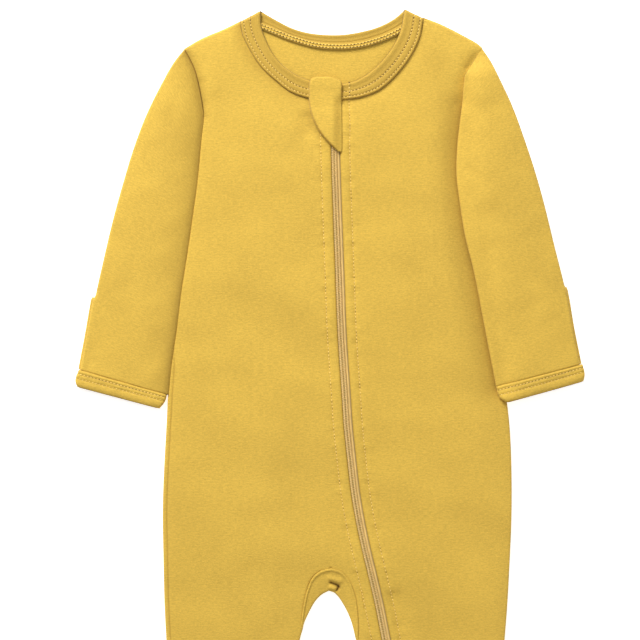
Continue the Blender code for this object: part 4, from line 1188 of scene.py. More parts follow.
# ------------------------------------------------------------------------------ the body


def side_fold(down: float) -> float:
    """0 along the armhole seam and 1 along the side fold below it."""
    return float(smoothstep(down, *ARMPIT_FADE))


def inner_fold(down: float) -> float:
    """0 along the crotch arch and 1 along the inner leg below it."""
    return float(smoothstep(down, *INNER_LEG_FADE))


def beside_zip(offset: float, down: float) -> Array:
    """The plan point of a folded front edge beside the zip."""
    return np.array((ZIP_LINE.x_at(down) + offset, down))


def yoke_fold(offset: float, top: float) -> Curve:
    """A folded front edge beside the zip, from its top to the end of the yoke."""
    return PlanLine(*(tuple(beside_zip(offset, down)) for down in (top, YOKE_DOWN))).at


def levels(start: float, stop: float, step: float) -> Array:
    """Evenly spaced levels from start up to, but not at, stop."""
    return np.linspace(start, stop, max(round((stop - start) / step), 1), endpoint=False)


def yoke_shares(count: int) -> Array:
    """Shares of the way down the yoke: its top, and rows that leave room for the top's fold."""
    return np.concatenate(([0.0], np.linspace(0.06, 1.0, count, endpoint=False)))


def with_corner(rows: Array, corner: Array) -> Array:
    """Move the point of a stack's first row that lies nearest to a corner onto the corner."""
    nearest = np.linalg.norm(rows[0, :, :2] - corner, axis=1).argmin()
    rows[0, nearest, :2] = corner
    return rows


@dataclass
class Part:
    """Some pieces of the garment, and the lines of stitches on them."""

    room: Workroom
    finishes: Finishes
    seams: list[Seam] = field(default_factory=list, kw_only=True)


@dataclass
class Body(Part):
    """The two fronts and the back, sewn along the neck and the armholes."""

    # Rows: how far apart they lie below the yoke, and how many the yoke and the arch have.
    STEP = 1.8
    BACK_STEP = 3.2
    YOKE_ROWS = 48
    BACK_YOKE_ROWS = 26
    ARCH_ROWS = 26
    BACK_ARCH_ROWS = 14
    LEG_EASE = 40.0

    LEG_COLUMNS = 58
    STRIP_COLUMNS = 26
    LEFT_COLUMNS = 66
    BACK_COLUMNS = 40

    # Shares along a row: where its two grids meet, and where its shoulder and its neck do.
    SPLIT = 0.833
    RIGHT_CORNER = 0.3
    LEFT_CORNER = 0.7
    BACK_SHOULDER = 0.2
    BACK_SPLIT = 0.482

    # Seams: the depths and the reaches at the sides, the inner edges and the neck.
    SIDE_SINK = 0.7
    WRAP_SINK = 0.75
    LEFT_SINK = 0.3
    SINK_REACH = 1.4
    ARCH_SUNK = (0.1, 0.4)
    NECK_SINK = 0.85
    NECK_REACH = 2.2
    TOP_NEAR = (0.0, 0.3, 0.6, 0.9, 1.3, 1.7, 2.2, 2.8, 3.6)
    CORNER_SLACK = 0.01

    # The zip's topstitch: its groove, the puckers beside it and the full hem between it and
    # the fold, which is round.
    ZIP_TOPS = (68.5, 68.4)
    GROOVE_DEPTH = 0.42
    GROOVE_REACH = 0.75
    PUCKERS = Waves(0.34, 9.0, 3.6, 7, 3)
    PUCKER_REACH = 4.5
    PUCKER_STRETCH = 0.35
    HEM_RISE = 0.35
    HEM_PLACE = 0.45
    HEM_REACH = 2.4
    HEM_RADIUS = 2.5

    def build(self) -> None:
        """Sew the three panels."""
        knit = self.finishes.knit
        self.room.sew("front_right", self.right_front(), WALL, Cut(175, 540), knit)
        self.room.sew("front_left", self.left_front(), WALL, Cut(140, 590), knit)
        self.room.sew("back", self.back(), WALL, Cut(290, 560), knit)

    def puckered(self, rows: Array, distance: Array, stitched: float) -> Array:
        """The groove and the small puckers of a topstitch, and the full hem beside the zip."""
        groove = self.GROOVE_DEPTH * mound(distance - stitched, self.GROOVE_REACH)
        wave = self.PUCKERS.lift(distance * self.PUCKER_STRETCH, rows[..., 1])
        puckers = mound(distance - stitched, self.PUCKER_REACH) * wave
        hem = self.HEM_RISE * mound(distance - self.HEM_PLACE * stitched, self.HEM_REACH)
        return (puckers + hem) * (1.0 - rolled(distance, self.HEM_RADIUS)) - groove

    def turned_top(self, rows: Array, layer: Layer, neck: tuple[float, float]) -> Array:
        """Fold a stack's first row down along the shoulders and sink it along the neck."""
        x = rows[0, :, 0]
        folded = ((x < neck[0]) | (x > neck[1])).astype(float)
        edge = Edge(near=self.TOP_NEAR, layer=layer)
        turned = turn_end(rows, edge, folded)
        return sink_end(turned, self.NECK_SINK, self.NECK_REACH, 1.0 - folded)

    def crotch_rows(self, count: int, stop: float,
                    step: float) -> list[tuple[Array, Array, float, float]]:
        """The inner ends of the rows beside the crotch and the inner legs.

        Args:
            count: how many rows lie beside the crotch arch.
            stop: the level of the last row.
            step: how far apart the rows lie below the arch.

        Returns:
            For each row its inner ends right and left, its level and its share of the arch.
        """
        rows, start = [], ARCH_SIDE_DOWNS[-1]
        for share in np.linspace(0.0, 1.0, count):
            down = float(np.interp(share, ARCH_SHARES, ARCH_SIDE_DOWNS))
            rows.append((ARCH_RIGHT.at(share), ARCH_LEFT.at(share), down, float(share)))
        for down in (*levels(start + step, stop, step), stop):
            near = 1.0 - smoothstep(down, start, start + self.LEG_EASE)
            right, left = (down + near * (arch.dense[-1, 1] - start)
                           for arch in (ARCH_RIGHT, ARCH_LEFT))
            rows.append((np.array((INSEAM_RIGHT.x_at(right), right)),
                         np.array((INSEAM_LEFT.x_at(left), left)), float(down), 1.0))
        return rows

    def right_side(self, layer: Layer, down: float) -> Edge:
        """The edge of a row at the right side, where the back may wrap over the front."""
        near = SEAM_NEAR if layer is Layer.FRONT else WRAP_NEAR
        fold = side_fold(down)
        sink = self.SIDE_SINK * (1.0 - fold) + self.WRAP_SINK * wrapped(down)
        return Edge(near, fold, wrap_run(down), layer, sink, self.SINK_REACH)

    def left_side(self, layer: Layer, down: float) -> Edge:
        """The edge of a row at the left side."""
        fold = side_fold(down)
        return Edge(SEAM_NEAR, fold, FOLD_RUN / 2, layer, self.LEFT_SINK * (1.0 - fold))

    def inner(self, layer: Layer, down: float, share: float) -> Edge:
        """The edge of a row at the crotch arch or the inner leg."""
        fold = inner_fold(down)
        sink = self.SIDE_SINK * (1.0 - fold) * float(smoothstep(share, *self.ARCH_SUNK))
        return Edge(SEAM_NEAR, fold, FOLD_RUN / 2, layer, sink, self.SINK_REACH, share)

    def right_front(self) -> list[Grid]:
        """The right front: one width down to the crotch, then its leg and the strip by the zip."""
        top = end_to_end((SHOULDER_RIGHT.at, NECK_RIGHT.at), (self.RIGHT_CORNER,))
        outer = BODY_SIDE_RIGHT.above(YOKE_DOWN)
        fold_line = yoke_fold(-FOLD_TO_RIGHT, self.ZIP_TOPS[0])
        rows = [(across_patch(top, outer, fold_line, share), float(outer(share)[1]))
                for share in yoke_shares(self.YOKE_ROWS)]
        for down in levels(YOKE_DOWN, CROTCH_DOWN, self.STEP):
            zip_point = beside_zip(-FOLD_TO_RIGHT, down)
            rows.append((straight((SIDE_RIGHT.x_at(down), down), zip_point), float(down)))
        folded_edge, plain = zip_edge(STITCH_FROM_RIGHT), plain_edge(Layer.FRONT)
        leg, strip = [], []
        for curve, down in rows:
            side = self.right_side(Layer.FRONT, down)
            leg_part, strip_part = stretch(curve, 0.0, self.SPLIT), stretch(curve, self.SPLIT, 1.0)
            leg.append(lay_row(leg_part, self.LEG_COLUMNS, side, plain))
            strip.append(lay_row(strip_part, self.STRIP_COLUMNS, plain, folded_edge))
        for right, left, down, share in self.crotch_rows(self.ARCH_ROWS, ANKLE_DOWN, self.STEP):
            inner, side = self.inner(Layer.FRONT, down, share), self.right_side(Layer.FRONT, down)
            side_point = (SIDE_RIGHT.x_at(down), down)
            leg.append(lay_row(straight(side_point, right), self.LEG_COLUMNS, side, inner))
            zip_point = beside_zip(-FOLD_TO_RIGHT, left[1])
            strip.append(lay_row(straight(left, zip_point), self.STRIP_COLUMNS, inner, folded_edge))
        neck = (NECK_RIGHT.at(0.0)[0] - self.CORNER_SLACK, math.inf)
        legs = self.turned_top(with_corner(np.stack(leg), NECK_RIGHT.at(0.0)), Layer.FRONT, neck)
        strips = self.turned_top(np.stack(strip), Layer.FRONT, neck)
        distance = strips[..., -1:, 4] - strips[..., 4]
        beside = front_grid(strips, self.puckered(strips, distance, STITCH_FROM_RIGHT))
        self.stitch(beside, -1 - STITCH_COLUMN)
        return [front_grid(legs), beside]

    def left_front(self) -> list[Grid]:
        """The left front, from the zip's folded edge to the side, with its leg."""
        top = end_to_end((NECK_LEFT.at, SHOULDER_LEFT.at), (self.LEFT_CORNER,))
        outer = BODY_SIDE_LEFT.above(YOKE_DOWN)
        fold_line = yoke_fold(FOLD_TO_LEFT, self.ZIP_TOPS[1])
        folded_edge = zip_edge(STITCH_FROM_LEFT)
        rows = []
        for share in yoke_shares(self.YOKE_ROWS):
            side = self.left_side(Layer.FRONT, float(outer(share)[1]))
            curve = across_patch(top, fold_line, outer, share)
            rows.append(lay_row(curve, self.LEFT_COLUMNS, folded_edge, side))
        for down in (*levels(YOKE_DOWN, ANKLE_DOWN, self.STEP), ANKLE_DOWN):
            side = self.left_side(Layer.FRONT, float(down))
            curve = straight(beside_zip(FOLD_TO_LEFT, down), (SIDE_LEFT.x_at(down), down))
            rows.append(lay_row(curve, self.LEFT_COLUMNS, folded_edge, side))
        neck = (-math.inf, NECK_LEFT.at(1.0)[0] + self.CORNER_SLACK)
        stack = self.turned_top(with_corner(np.stack(rows), NECK_LEFT.at(1.0)), Layer.FRONT, neck)
        grid = front_grid(stack, self.puckered(stack, stack[..., 4], STITCH_FROM_LEFT))
        self.stitch(grid, STITCH_COLUMN)
        return [grid]

    def stitch(self, grid: Grid, column: int) -> None:
        """Keep the line of the topstitch that runs along a column beside the zip."""
        points = grid.moved(WALL / 2)[:, column]
        shown = points[:, 1] > MIDDLE_DOWN - ZIP_END_DOWN
        self.seams.append(Seam(points[shown], grid.normals[:, column][shown]))

    def back(self) -> list[Grid]:
        """The back with both legs: two halves that share the middle down to the crotch."""
        ends = (self.BACK_SHOULDER, 1.0 - self.BACK_SHOULDER)
        top = end_to_end((SHOULDER_RIGHT.at, NECK_BACK.at, SHOULDER_LEFT.at), ends)
        outer_right = BODY_SIDE_RIGHT.above(YOKE_DOWN)
        outer_left = BODY_SIDE_LEFT.above(YOKE_DOWN)
        rows = [(across_patch(top, outer_right, outer_left, share), float(outer_right(share)[1]),
                 float(outer_left(share)[1])) for share in yoke_shares(self.BACK_YOKE_ROWS)]
        for down in levels(YOKE_DOWN, CROTCH_DOWN, self.BACK_STEP):
            curve = straight((SIDE_RIGHT.x_at(down), down), (SIDE_LEFT.x_at(down), down))
            rows.append((curve, down, down))
        plain = plain_edge(Layer.BACK)
        right, left = [], []
        for curve, right_down, left_down in rows:
            right.append(lay_row(stretch(curve, 0.0, self.BACK_SPLIT), self.BACK_COLUMNS,
                                 self.right_side(Layer.BACK, right_down), plain))
            left.append(lay_row(stretch(curve, self.BACK_SPLIT, 1.0), self.BACK_COLUMNS, plain,
                                self.left_side(Layer.BACK, left_down)))
        for point_right, point_left, down, share in self.crotch_rows(self.BACK_ARCH_ROWS, HEEL_DOWN,
                                                                     self.BACK_STEP):
            inner = self.inner(Layer.BACK, down, share)
            curve = straight((SIDE_RIGHT.x_at(down), down), point_right)
            right.append(lay_row(curve, self.BACK_COLUMNS, self.right_side(Layer.BACK, down), inner))
            curve = straight(point_left, (SIDE_LEFT.x_at(down), down))
            left.append(lay_row(curve, self.BACK_COLUMNS, inner, self.left_side(Layer.BACK, down)))
        corners = (NECK_BACK.at(0.0), NECK_BACK.at(1.0))
        neck = (corners[0][0] - self.CORNER_SLACK, corners[1][0] + self.CORNER_SLACK)
        grids = []
        for rows, corner in zip((right, left), corners):
            stack = self.turned_top(with_corner(np.stack(rows), corner), Layer.BACK, neck)
            grids.append(grid_of(stack, back_height, outward=-1.0))
        return grids


# ------------------------------------------------------------------------- gusset and feet


@dataclass
class Crotch(Part):
    """The gusset: a front crescent, the fold of the leg opening and a back crescent."""

    ROWS = 150
    FRONT_SHARES = (0.0, 0.02, 0.045, 0.075, 0.11, 0.15, 0.2, 0.26, *np.arange(0.31, 0.97, 0.045))
    FOLD_RUNS = np.linspace(0.0, FOLD_RUN, 10)
    UNDER_SHARES = np.linspace(0.15, 1.0, 7)
    NARROWEST = 0.3
    PROFILE = ((0.0, 0.35, 0.7, 1.1, 1.6, 2.3, 3.6), (-1.0, -0.2, 0.6, 0.95, 0.7, 0.25, 0.0))
    FULL_WIDTH = 4.0
    LEAST_LIFT = 0.35
    SEAM_SHADE = ((0.0, 0.8), (1.0, 0.0))
    CREASE_SHADE = 0.55

    def build(self) -> None:
        """Sew the gusset over the ends of the fronts and the back."""
        along = np.linspace(-1.0, 1.0, self.ROWS)
        shares, right = np.abs(along), (along < 0)[:, None]
        seam = np.where(right, ARCH_RIGHT.at(shares), ARCH_LEFT.at(shares))
        edge = np.where(right, OPENING_RIGHT.at(shares), OPENING_LEFT.at(shares))
        width = np.linalg.norm(edge - seam, axis=1)[:, None]
        flat = np.maximum(width - WALL / 2 - FOLD_RADIUS, self.NARROWEST)
        run = np.concatenate((flat * np.array(self.FRONT_SHARES), flat + self.FOLD_RUNS,
                              flat + FOLD_RUN + flat * self.UNDER_SHARES), axis=1)
        inward, climbed = fold_path(FOLD_RUN + flat - run)
        place = (width - WALL / 2 - inward) / width
        plan = seam[:, None] + place[..., None] * (edge - seam)[:, None]
        x, down = plan[..., 0], plan[..., 1]
        z = BACK_Z + climbed * (FRONT.height(x, down) - BACK_Z)
        folds = creased(GUSSET_CREASES, x, down)
        fullness = np.clip(flat / self.FULL_WIDTH, self.LEAST_LIFT, 1.0)
        lift = np.interp(run, *self.PROFILE) * fullness + folds
        # Painted shade: the seam's edge and the creases of the pucker are painted darker.
        shade = np.maximum(np.interp(run, *self.SEAM_SHADE),
                           np.clip(-self.CREASE_SHADE * folds, 0.0, 1.0))
        top = run < flat
        grid = Grid(plan, z, np.where(top, lift, 0.0), np.where(top, shade, 0.0), outward=-1.0)
        self.room.sew("gusset", [grid], WALL, Cut(46, 56), self.finishes.knit)


@dataclass
class Feet(Part):
    """The top and the sole of each foot, with a seam round the toe."""

    NEAR = (0.0, 0.3, 0.6, 0.9, 1.3, 1.7, 2.2, 2.8, 3.6, 5.0)
    COLUMNS = 24
    MIDDLE = Edge((0.0,), sink=0.0)
    ROWS = {Layer.FRONT: (ANKLE_DOWN, 12), Layer.BACK: (HEEL_DOWN, 24)}
    FIRST_ROWS = (0.0, 0.3, 0.7, 1.2)
    ROWS_FROM = 2.0
    SINK = 0.25
    SINK_REACH = 0.8
    TOP_SINK = 0.5
    TOP_REACH = 1.5

    def build(self) -> None:
        """Sew all four pieces."""
        for side, plan in FEET.items():
            top, sole = self.piece(plan, Layer.FRONT), self.piece(plan, Layer.BACK)
            self.room.sew(f"foot_top_{side.word}", top, WALL, Cut(86, 62), self.finishes.knit)
            self.room.sew(f"sole_{side.word}", sole, WALL, Cut(86, 102), self.finishes.knit)

    def piece(self, plan: FootPlan, layer: Layer) -> list[Grid]:
        """One piece: rows from the seam round its edge to the foot's middle line."""
        start, count = self.ROWS[layer]
        downs = np.concatenate((start + np.array(self.FIRST_ROWS),
                                np.linspace(start + self.ROWS_FROM, BALL_DOWN, count)))
        ends = [side.x_at(np.minimum(downs, ANKLE_DOWN)) for side in plan.sides]
        toe = plan.toe(np.array((-90.0, 90.0)))
        blend = smoothstep(downs, ANKLE_DOWN, BALL_DOWN)
        ends = [end + blend * (corner[0] - end) for end, corner in zip(ends, toe)]
        middle = (ends[0] + ends[1]) / 2
        round_toe = plan.toe(TOE_TURNS[1:-1])
        centre = np.array((middle[-1], BALL_DOWN))
        outline = [*zip(ends[0], downs), *round_toe, *zip(ends[1][::-1], downs[::-1])]
        spine = [*zip(middle, downs), *([centre] * len(round_toe)), *zip(middle[::-1], downs[::-1])]
        edge = Edge(self.NEAR, 1.0, FOLD_RUN / 2, layer, self.SINK, self.SINK_REACH)
        rows = np.stack([lay_row(straight(a, b), self.COLUMNS, edge, self.MIDDLE)
                         for a, b in zip(outline, spine)])
        rows[..., 3] += self.TOP_SINK * rolled(rows[..., 1] - start, self.TOP_REACH)
        height = FRONT.height if layer is Layer.FRONT else back_height
        return [grid_of(rows, height, outward=layer.outward)]


# ------------------------------------------------------------------------- arms


@dataclass(frozen=True)
class ArmPlan:
    """The plan of one arm.

    Attributes:
        side: the side that it is on.
        sleeve: outer x, outer down, inner x and inner down of each of its sections.
        cuff: the same for the cuff.
        armhole: the line that the first section follows.
        pressed: how far the inner edge is pushed against the body.
        puff: how full the sleeve is.
        flap: how far the mitten flap stands out beside the sleeve's end.
    """

    side: Side
    sleeve: tuple[tuple[float, float, float, float], ...]
    cuff: tuple[tuple[float, float, float, float], ...]
    armhole: Curve
    pressed: float
    puff: float
    flap: float

    CLIMB = 16.0
    SLOW_CLIMB = 70.0

    def base(self, x: Array, down: Array, reach: float = CLIMB) -> Array:
        """The height of the middle of the under side, if it climbs within a reach."""
        return back_height(x, down) if self.side is Side.RIGHT else over_body_height(x, down, reach)

    def carried(self, x: Array, down: Array) -> Array:
        """How much the upper side, which climbs more slowly, lies higher for it."""
        return self.base(x, down, self.SLOW_CLIMB) - self.base(x, down)


ARMS = (
    ArmPlan(
        Side.RIGHT,
        ((-109.5, 30.5, -95.0, 80.0), (-116, 38.5, -96, 86), (-127, 57.5, -97.2, 97),
         (-138, 80, -98.5, 112), (-147.5, 105, -100.6, 133), (-156, 133, -103.6, 155),
         (-163, 158.5, -107.5, 182), (-170, 188.5, -112.3, 212), (-176.2, 217, -116.2, 241),
         (-181.3, 246, -120, 267), (-186, 270.7, -122.2, 289.7)),
        ((-188.6, 271.2, -122.4, 290.0), (-191, 278, -124, 295), (-190, 283.4, -127.8, 299.9)),
        ARMHOLE_RIGHT.at, 1.3, 2.1, 3.1),
    ArmPlan(
        Side.LEFT,
        ((114, 29.5, 101.3, 51.0), (120, 38.5, 100.2, 60), (127, 52.5, 99.4, 70),
         (136, 71.5, 97.5, 84), (145.5, 97, 95.4, 103), (153.5, 121, 94.7, 124),
         (161, 147.5, 97.2, 146), (168.5, 178.5, 101.2, 171), (176, 209, 107.8, 198),
         (181.4, 240, 115.5, 238), (186.8, 266.8, 124.3, 283.3)),
        ((189.5, 267.2, 124.4, 283.6), (191, 273.3, 126.6, 291), (190.3, 279.3, 131.5, 295.3)),
        ARMHOLE_LEFT.above(51.0), 0.0, 2.0, 2.2),
)


@dataclass
class Arm(Part):
    """A sleeve, the bound cuff at its end and the mitten flap folded behind it."""

    plan: ArmPlan

    # Where rows and columns lie, and the angles of the columns round a side fold.
    SLEEVE_STEPS = 15
    START_NEAR = (0.0, 0.12, 0.3, 0.55, 0.8)
    STOP_NEAR = (0.5, 0.25, 0.1, 0.0)
    SIDE_SHARES = np.array((0.0, 0.004, 0.012, 0.024, 0.04, 0.06, 0.085, 0.115))
    FLAT_SHARES = np.concatenate((SIDE_SHARES, np.linspace(0.15, 0.85, 27), 1.0 - SIDE_SHARES[::-1]))
    CUFF_SHARES = np.linspace(0.0, 1.0, 96)
    CUFF_STEPS = 30
    TURNS = np.radians((68.0, 45.0, 22.0, 0.0, -22.0, -45.0, -68.0))

    # Shares along the sleeve: where it has left the armhole's curve, where it is pressed against
    # the body, where the flap's edge starts and where the sleeve has climbed over the flap.
    ARMHOLE_FADE = 0.3
    PRESSED = (0.02, 0.12)
    FLAP_EDGE = (0.793, 0.807)
    OVER_FLAP = (0.62, 0.78)
    FLAP_RISE = 1.5
    FLAP_THINNER = 0.6

    # The fullness of the upper side: near its edges, inside them, and by shares along the sleeve,
    # which is emptiest at a share of 0.86.
    EDGE_RISE = 0.7
    EDGE_REACH = 4.0
    PUFF_REACH = 14.0
    WAVE_REACH = 6.0
    WAVES_BEGIN = (0.0, 0.06)
    FILLED = (0.0, 0.22)
    EMPTIED = (0.5, 0.86)
    EMPTIED_BY = 0.9
    REFILLED = (0.86, 1.0)
    REFILLED_BY = 0.2

    # How deep the sleeve is drawn into its two seams, how far from them, and how much painted shade
    # darkens it there.
    ARMHOLE_SINK = 0.8
    ARMHOLE_REACH = 1.6
    CUFF_SINK = 0.5
    CUFF_REACH = 0.8
    SINK_SHADE = 1.2

    # The cuff: its heights over the under side, its fullness, its finer waves and the painted shade
    # in its grooves.
    CUFF_LOW = 0.2
    CUFF_HIGH = 3.5
    CUFF_FULL = 0.6
    CUFF_FULL_REACH = 5.0
    CUFF_WAVES = 0.5
    CUFF_WAVES_FINER = 1.6
    CUFF_SHADE = 0.9

    # The mitten flap: how far it stands out past the sleeve, its fold and its columns.
    FLAP_OUT = 1.5
    FLAP_RADIUS = 1.0
    FLAP_TURNS = np.radians((90.0, 70.0, 50.0, 30.0, 10.0, -10.0, -30.0, -50.0, -70.0))
    FLAP_SECTIONS = 34
    FLAP_COLUMNS = 16
    FLAP_INSIDE = 0.5

    CUFF_ROWS = (0.0, 0.25, 0.5, 0.8, 1.2, 1.7, 2.1, 2.4, 2.7, 3.2, 3.8, 4.4, 5.0, 5.4, 5.7, 6.0,
                 6.5, 7.3, 8.2, 9.2, 10.1, 10.8, 11.2, 11.5, 11.7)
    CUFF_PROFILE = ((0.0, 0.4, 0.9, 1.5, 2.05, 2.75, 3.1, 4.0, 5.0, 5.35, 6.05, 6.5, 8.5, 10.3,
                     11.2, 11.7),
                    (-0.7, 0.2, 0.5, 0.4, 0.0, 0.0, 0.3, 0.4, 0.3, -0.05, -0.05, 0.3, 0.6, 0.4,
                     -0.1, -0.9))
    CUFF_STITCHES = ((2.4, 0.0), (5.7, 50.0))
    WAVES = Waves(0.5, 70.0, 16.0, 9, 11)
    CREASES = {
        Side.RIGHT: (Crease(-112, 60, -122, 92, 5, -0.5), Crease(-132, 100, -136, 134, 6, -0.5),
                     Crease(-150, 190, -152, 236, 8, -0.45), Crease(-128, 240, -134, 270, 6, -0.5),
                     Crease(-184, 272, -176, 262, 2.2, -0.8), Crease(-180, 270, -173, 258, 1.6, 0.5)),
        Side.LEFT: (Crease(102.5, 60, 100.5, 70, 2.2, -1.3), Crease(103, 118, 112, 129, 4, -0.8),
                    Crease(112, 70, 126, 92, 6, -0.5), Crease(118, 150, 128, 182, 6, -0.6),
                    Crease(150, 200, 150, 244, 8, -0.5), Crease(136, 240, 132, 270, 5, -0.5)),
    }

    def build(self) -> None:
        """Sew the sleeve, the cuff and the flap."""
        knit, word = self.finishes.knit, self.plan.side.word
        self.room.sew(f"sleeve_{word}", [self.sleeve()], WALL, Cut(140, 270), knit)
        self.room.sew(f"cuff_{word}", [self.cuff()], WALL, Cut(142, 14), knit)
        self.room.sew(f"mitt_{word}", [self.mitt()], WALL, Cut(92, 58), knit)

    @property
    def sign(self) -> float:
        """1 where a row from the outer to the inner edge runs to the left, else -1."""
        return -self.plan.side.value

    def ring(self, sections: Array, along: Array, low: Callable, high: Callable,
             shares: Array) -> tuple[Array, ...]:
        """Closed rings round some sections of a flattened tube.

        Args:
            sections: outer and inner plan points of each section.
            along: share along the tube of each section.
            low: function of x, down and share along that gives the under side's middle height.
            high: function of the same, the inset and the under side's height that gives the
                upper side's middle height.
            shares: where the columns of the flat sides lie.

        Returns:
            The plan, the heights, how far each column faces up, and places in the grain.
        """
        outer, inner = sections[:, None, :2], sections[:, None, 2:]
        chord = inner - outer
        length = np.linalg.norm(chord, axis=2)
        inset = WALL / 2 + TUBE_RADIUS
        flat = inset + (length - 2 * inset) * shares
        fold = WALL / 2 + TUBE_RADIUS * (1.0 - np.cos(self.TURNS)) + 0.0 * length
        facing = np.sin(self.TURNS) + 0.0 * length
        upper = np.ones_like(flat)
        place = np.concatenate((flat, length - fold, flat[:, ::-1], fold[:, ::-1]), axis=1)
        height = np.concatenate((upper, facing, -upper, facing[:, ::-1]), axis=1)
        plan = outer + chord * (place / length)[..., None] + self.bend(along, place / length)
        x, down, share = plan[..., 0], plan[..., 1], along[:, None]
        under = low(x, down, share)
        over = high(x, down, share, np.minimum(place, length - place), under)
        z = (under + over) / 2 + (over - under) / 2 * height
        down_sleeve = places_along((sections[:, :2] + sections[:, 2:]) / 2)[:, None]
        grain = np.stack((place, down_sleeve + 0.0 * place), axis=-1)
        return plan, z, np.clip(height, 0.0, 1.0), grain

    def bend(self, along: Array, share: Array) -> Array:
        """How far the first sections leave their straight chords to follow the armhole."""
        ends = self.plan.armhole(np.array((0.0, 1.0)))
        curve = self.plan.armhole(share) - (ends[0] + share[..., None] * (ends[1] - ends[0]))
        fade = 1.0 - smoothstep(along, 0.0, self.ARMHOLE_FADE)
        return curve * fade[:, None, None]

    def sections(self) -> tuple[Array, Array]:
        """Closely spaced sections of the sleeve, pressed against the body, and their shares."""
        table = smooth_through(np.array(self.plan.sleeve, dtype=float), self.SLEEVE_STEPS)
        along = np.linspace(0.0, 1.0, len(table))
        flap_out = self.plan.flap - self.FLAP_OUT
        table[:, 2] += self.plan.pressed * smoothstep(along, *self.PRESSED) * self.sign
        table[:, 0] -= flap_out * smoothstep(along, *self.FLAP_EDGE) * self.sign
        places = np.concatenate((self.START_NEAR, np.arange(1, len(table) - 1),
                                 len(table) - 1.0 - np.array(self.STOP_NEAR)))
        index = np.arange(len(table))
        dense = np.stack([np.interp(places, index, table[:, k]) for k in range(4)], axis=1)
        return dense, np.interp(places, index, along)

    def sleeve(self) -> Grid:
        """The sleeve: flush with the body at the armhole, and over its flap near the cuff."""
        sections, along = self.sections()

        def low(x: Array, down: Array, share: Array) -> Array:
            """The under side, over the flap near the cuff."""
            return self.plan.base(x, down) + self.FLAP_RISE * smoothstep(share, *self.OVER_FLAP)

        def high(x: Array, down: Array, share: Array, inside: Array, under: Array) -> Array:
            """The upper side, softly filled, and emptier toward the cuff."""
            edge = self.EDGE_RISE * (1.0 - mound(inside, self.EDGE_REACH))
            fill = self.plan.puff * (1.0 - mound(inside, self.PUFF_REACH))
            dip = (self.EMPTIED_BY * smoothstep(share, *self.EMPTIED)
                   - self.REFILLED_BY * smoothstep(share, *self.REFILLED))
            filled = smoothstep(share, *self.FILLED) * (1.0 - dip)
            lift = self.WAVES.lift(x, down) + creased(self.CREASES[self.plan.side], x, down)
            soft = (1.0 - mound(inside, self.WAVE_REACH)) * smoothstep(share, *self.WAVES_BEGIN)
            thick = LAYER_STEP - self.FLAP_THINNER * smoothstep(share, *self.OVER_FLAP)
            return under + thick + (edge + fill) * filled + soft * lift + self.plan.carried(x, down)

        plan, z, facing, grain = self.ring(sections, along, low, high, self.FLAT_SHARES)
        down = places_along(sections[:, :2])[:, None]
        # Painted shade: the sunk seams are painted darker as well as drawn in.
        sunk = (self.ARMHOLE_SINK * rolled(down, self.ARMHOLE_REACH) * facing
                + self.CUFF_SINK * rolled(down[-1] - down, self.CUFF_REACH) * facing)
        # Painted shade: the sleeve is painted darker beside the body.
        painted_tuck_shade = -creased(PAINTED_SHADE_SLEEVE, plan[..., 0], plan[..., 1]) * facing
        shade = np.clip(sunk * self.SINK_SHADE + painted_tuck_shade, 0.0, 1.0)
        return Grid(plan, z, -sunk, shade, self.sign, True, grain)

    def cuff(self) -> Grid:
        """The cuff: a bound edge with a raised lip, two rows of stitches and a soft free end."""
        table = smooth_through(np.array(self.plan.cuff, dtype=float), self.CUFF_STEPS)
        places = places_along((table[:, :2] + table[:, 2:]) / 2)
        rows_down = np.array(self.CUFF_ROWS)
        rows = rows_down * places[-1] / rows_down[-1]
        sections = np.stack([np.interp(rows, places, table[:, k]) for k in range(4)], axis=1)

        def low(x: Array, down: Array, share: Array) -> Array:
            """The under side."""
            return self.plan.base(x, down) + self.CUFF_LOW

        def high(x: Array, down: Array, share: Array, inside: Array, under: Array) -> Array:
            """The upper side."""
            finer = self.CUFF_WAVES_FINER
            full = self.CUFF_FULL + self.CUFF_WAVES * self.WAVES.lift(x * finer, down * finer)
            soft = 1.0 - mound(inside, self.CUFF_FULL_REACH)
            return under + self.CUFF_HIGH + self.plan.carried(x, down) + soft * full

        ones = np.ones(len(rows))
        plan, z, facing, grain = self.ring(sections, ones, low, high, self.CUFF_SHARES)
        lift = np.interp(rows_down, *self.CUFF_PROFILE)[:, None] + 0.0 * facing
        # Painted shade: the grooves and the ends of the cuff are painted darker.
        shade = np.clip(-lift * self.CUFF_SHADE, 0.0, 1.0) * facing
        grid = Grid(plan, z, lift * facing, shade, self.sign, True, grain)
        top = slice(0, len(self.CUFF_SHARES))
        points, normals = grid.moved(WALL / 2), grid.normals
        for place, slant in self.CUFF_STITCHES:
            row = int(np.abs(rows_down - place).argmin())
            self.seams.append(Seam(points[row, top], normals[row, top], slant * self.sign))
        return grid

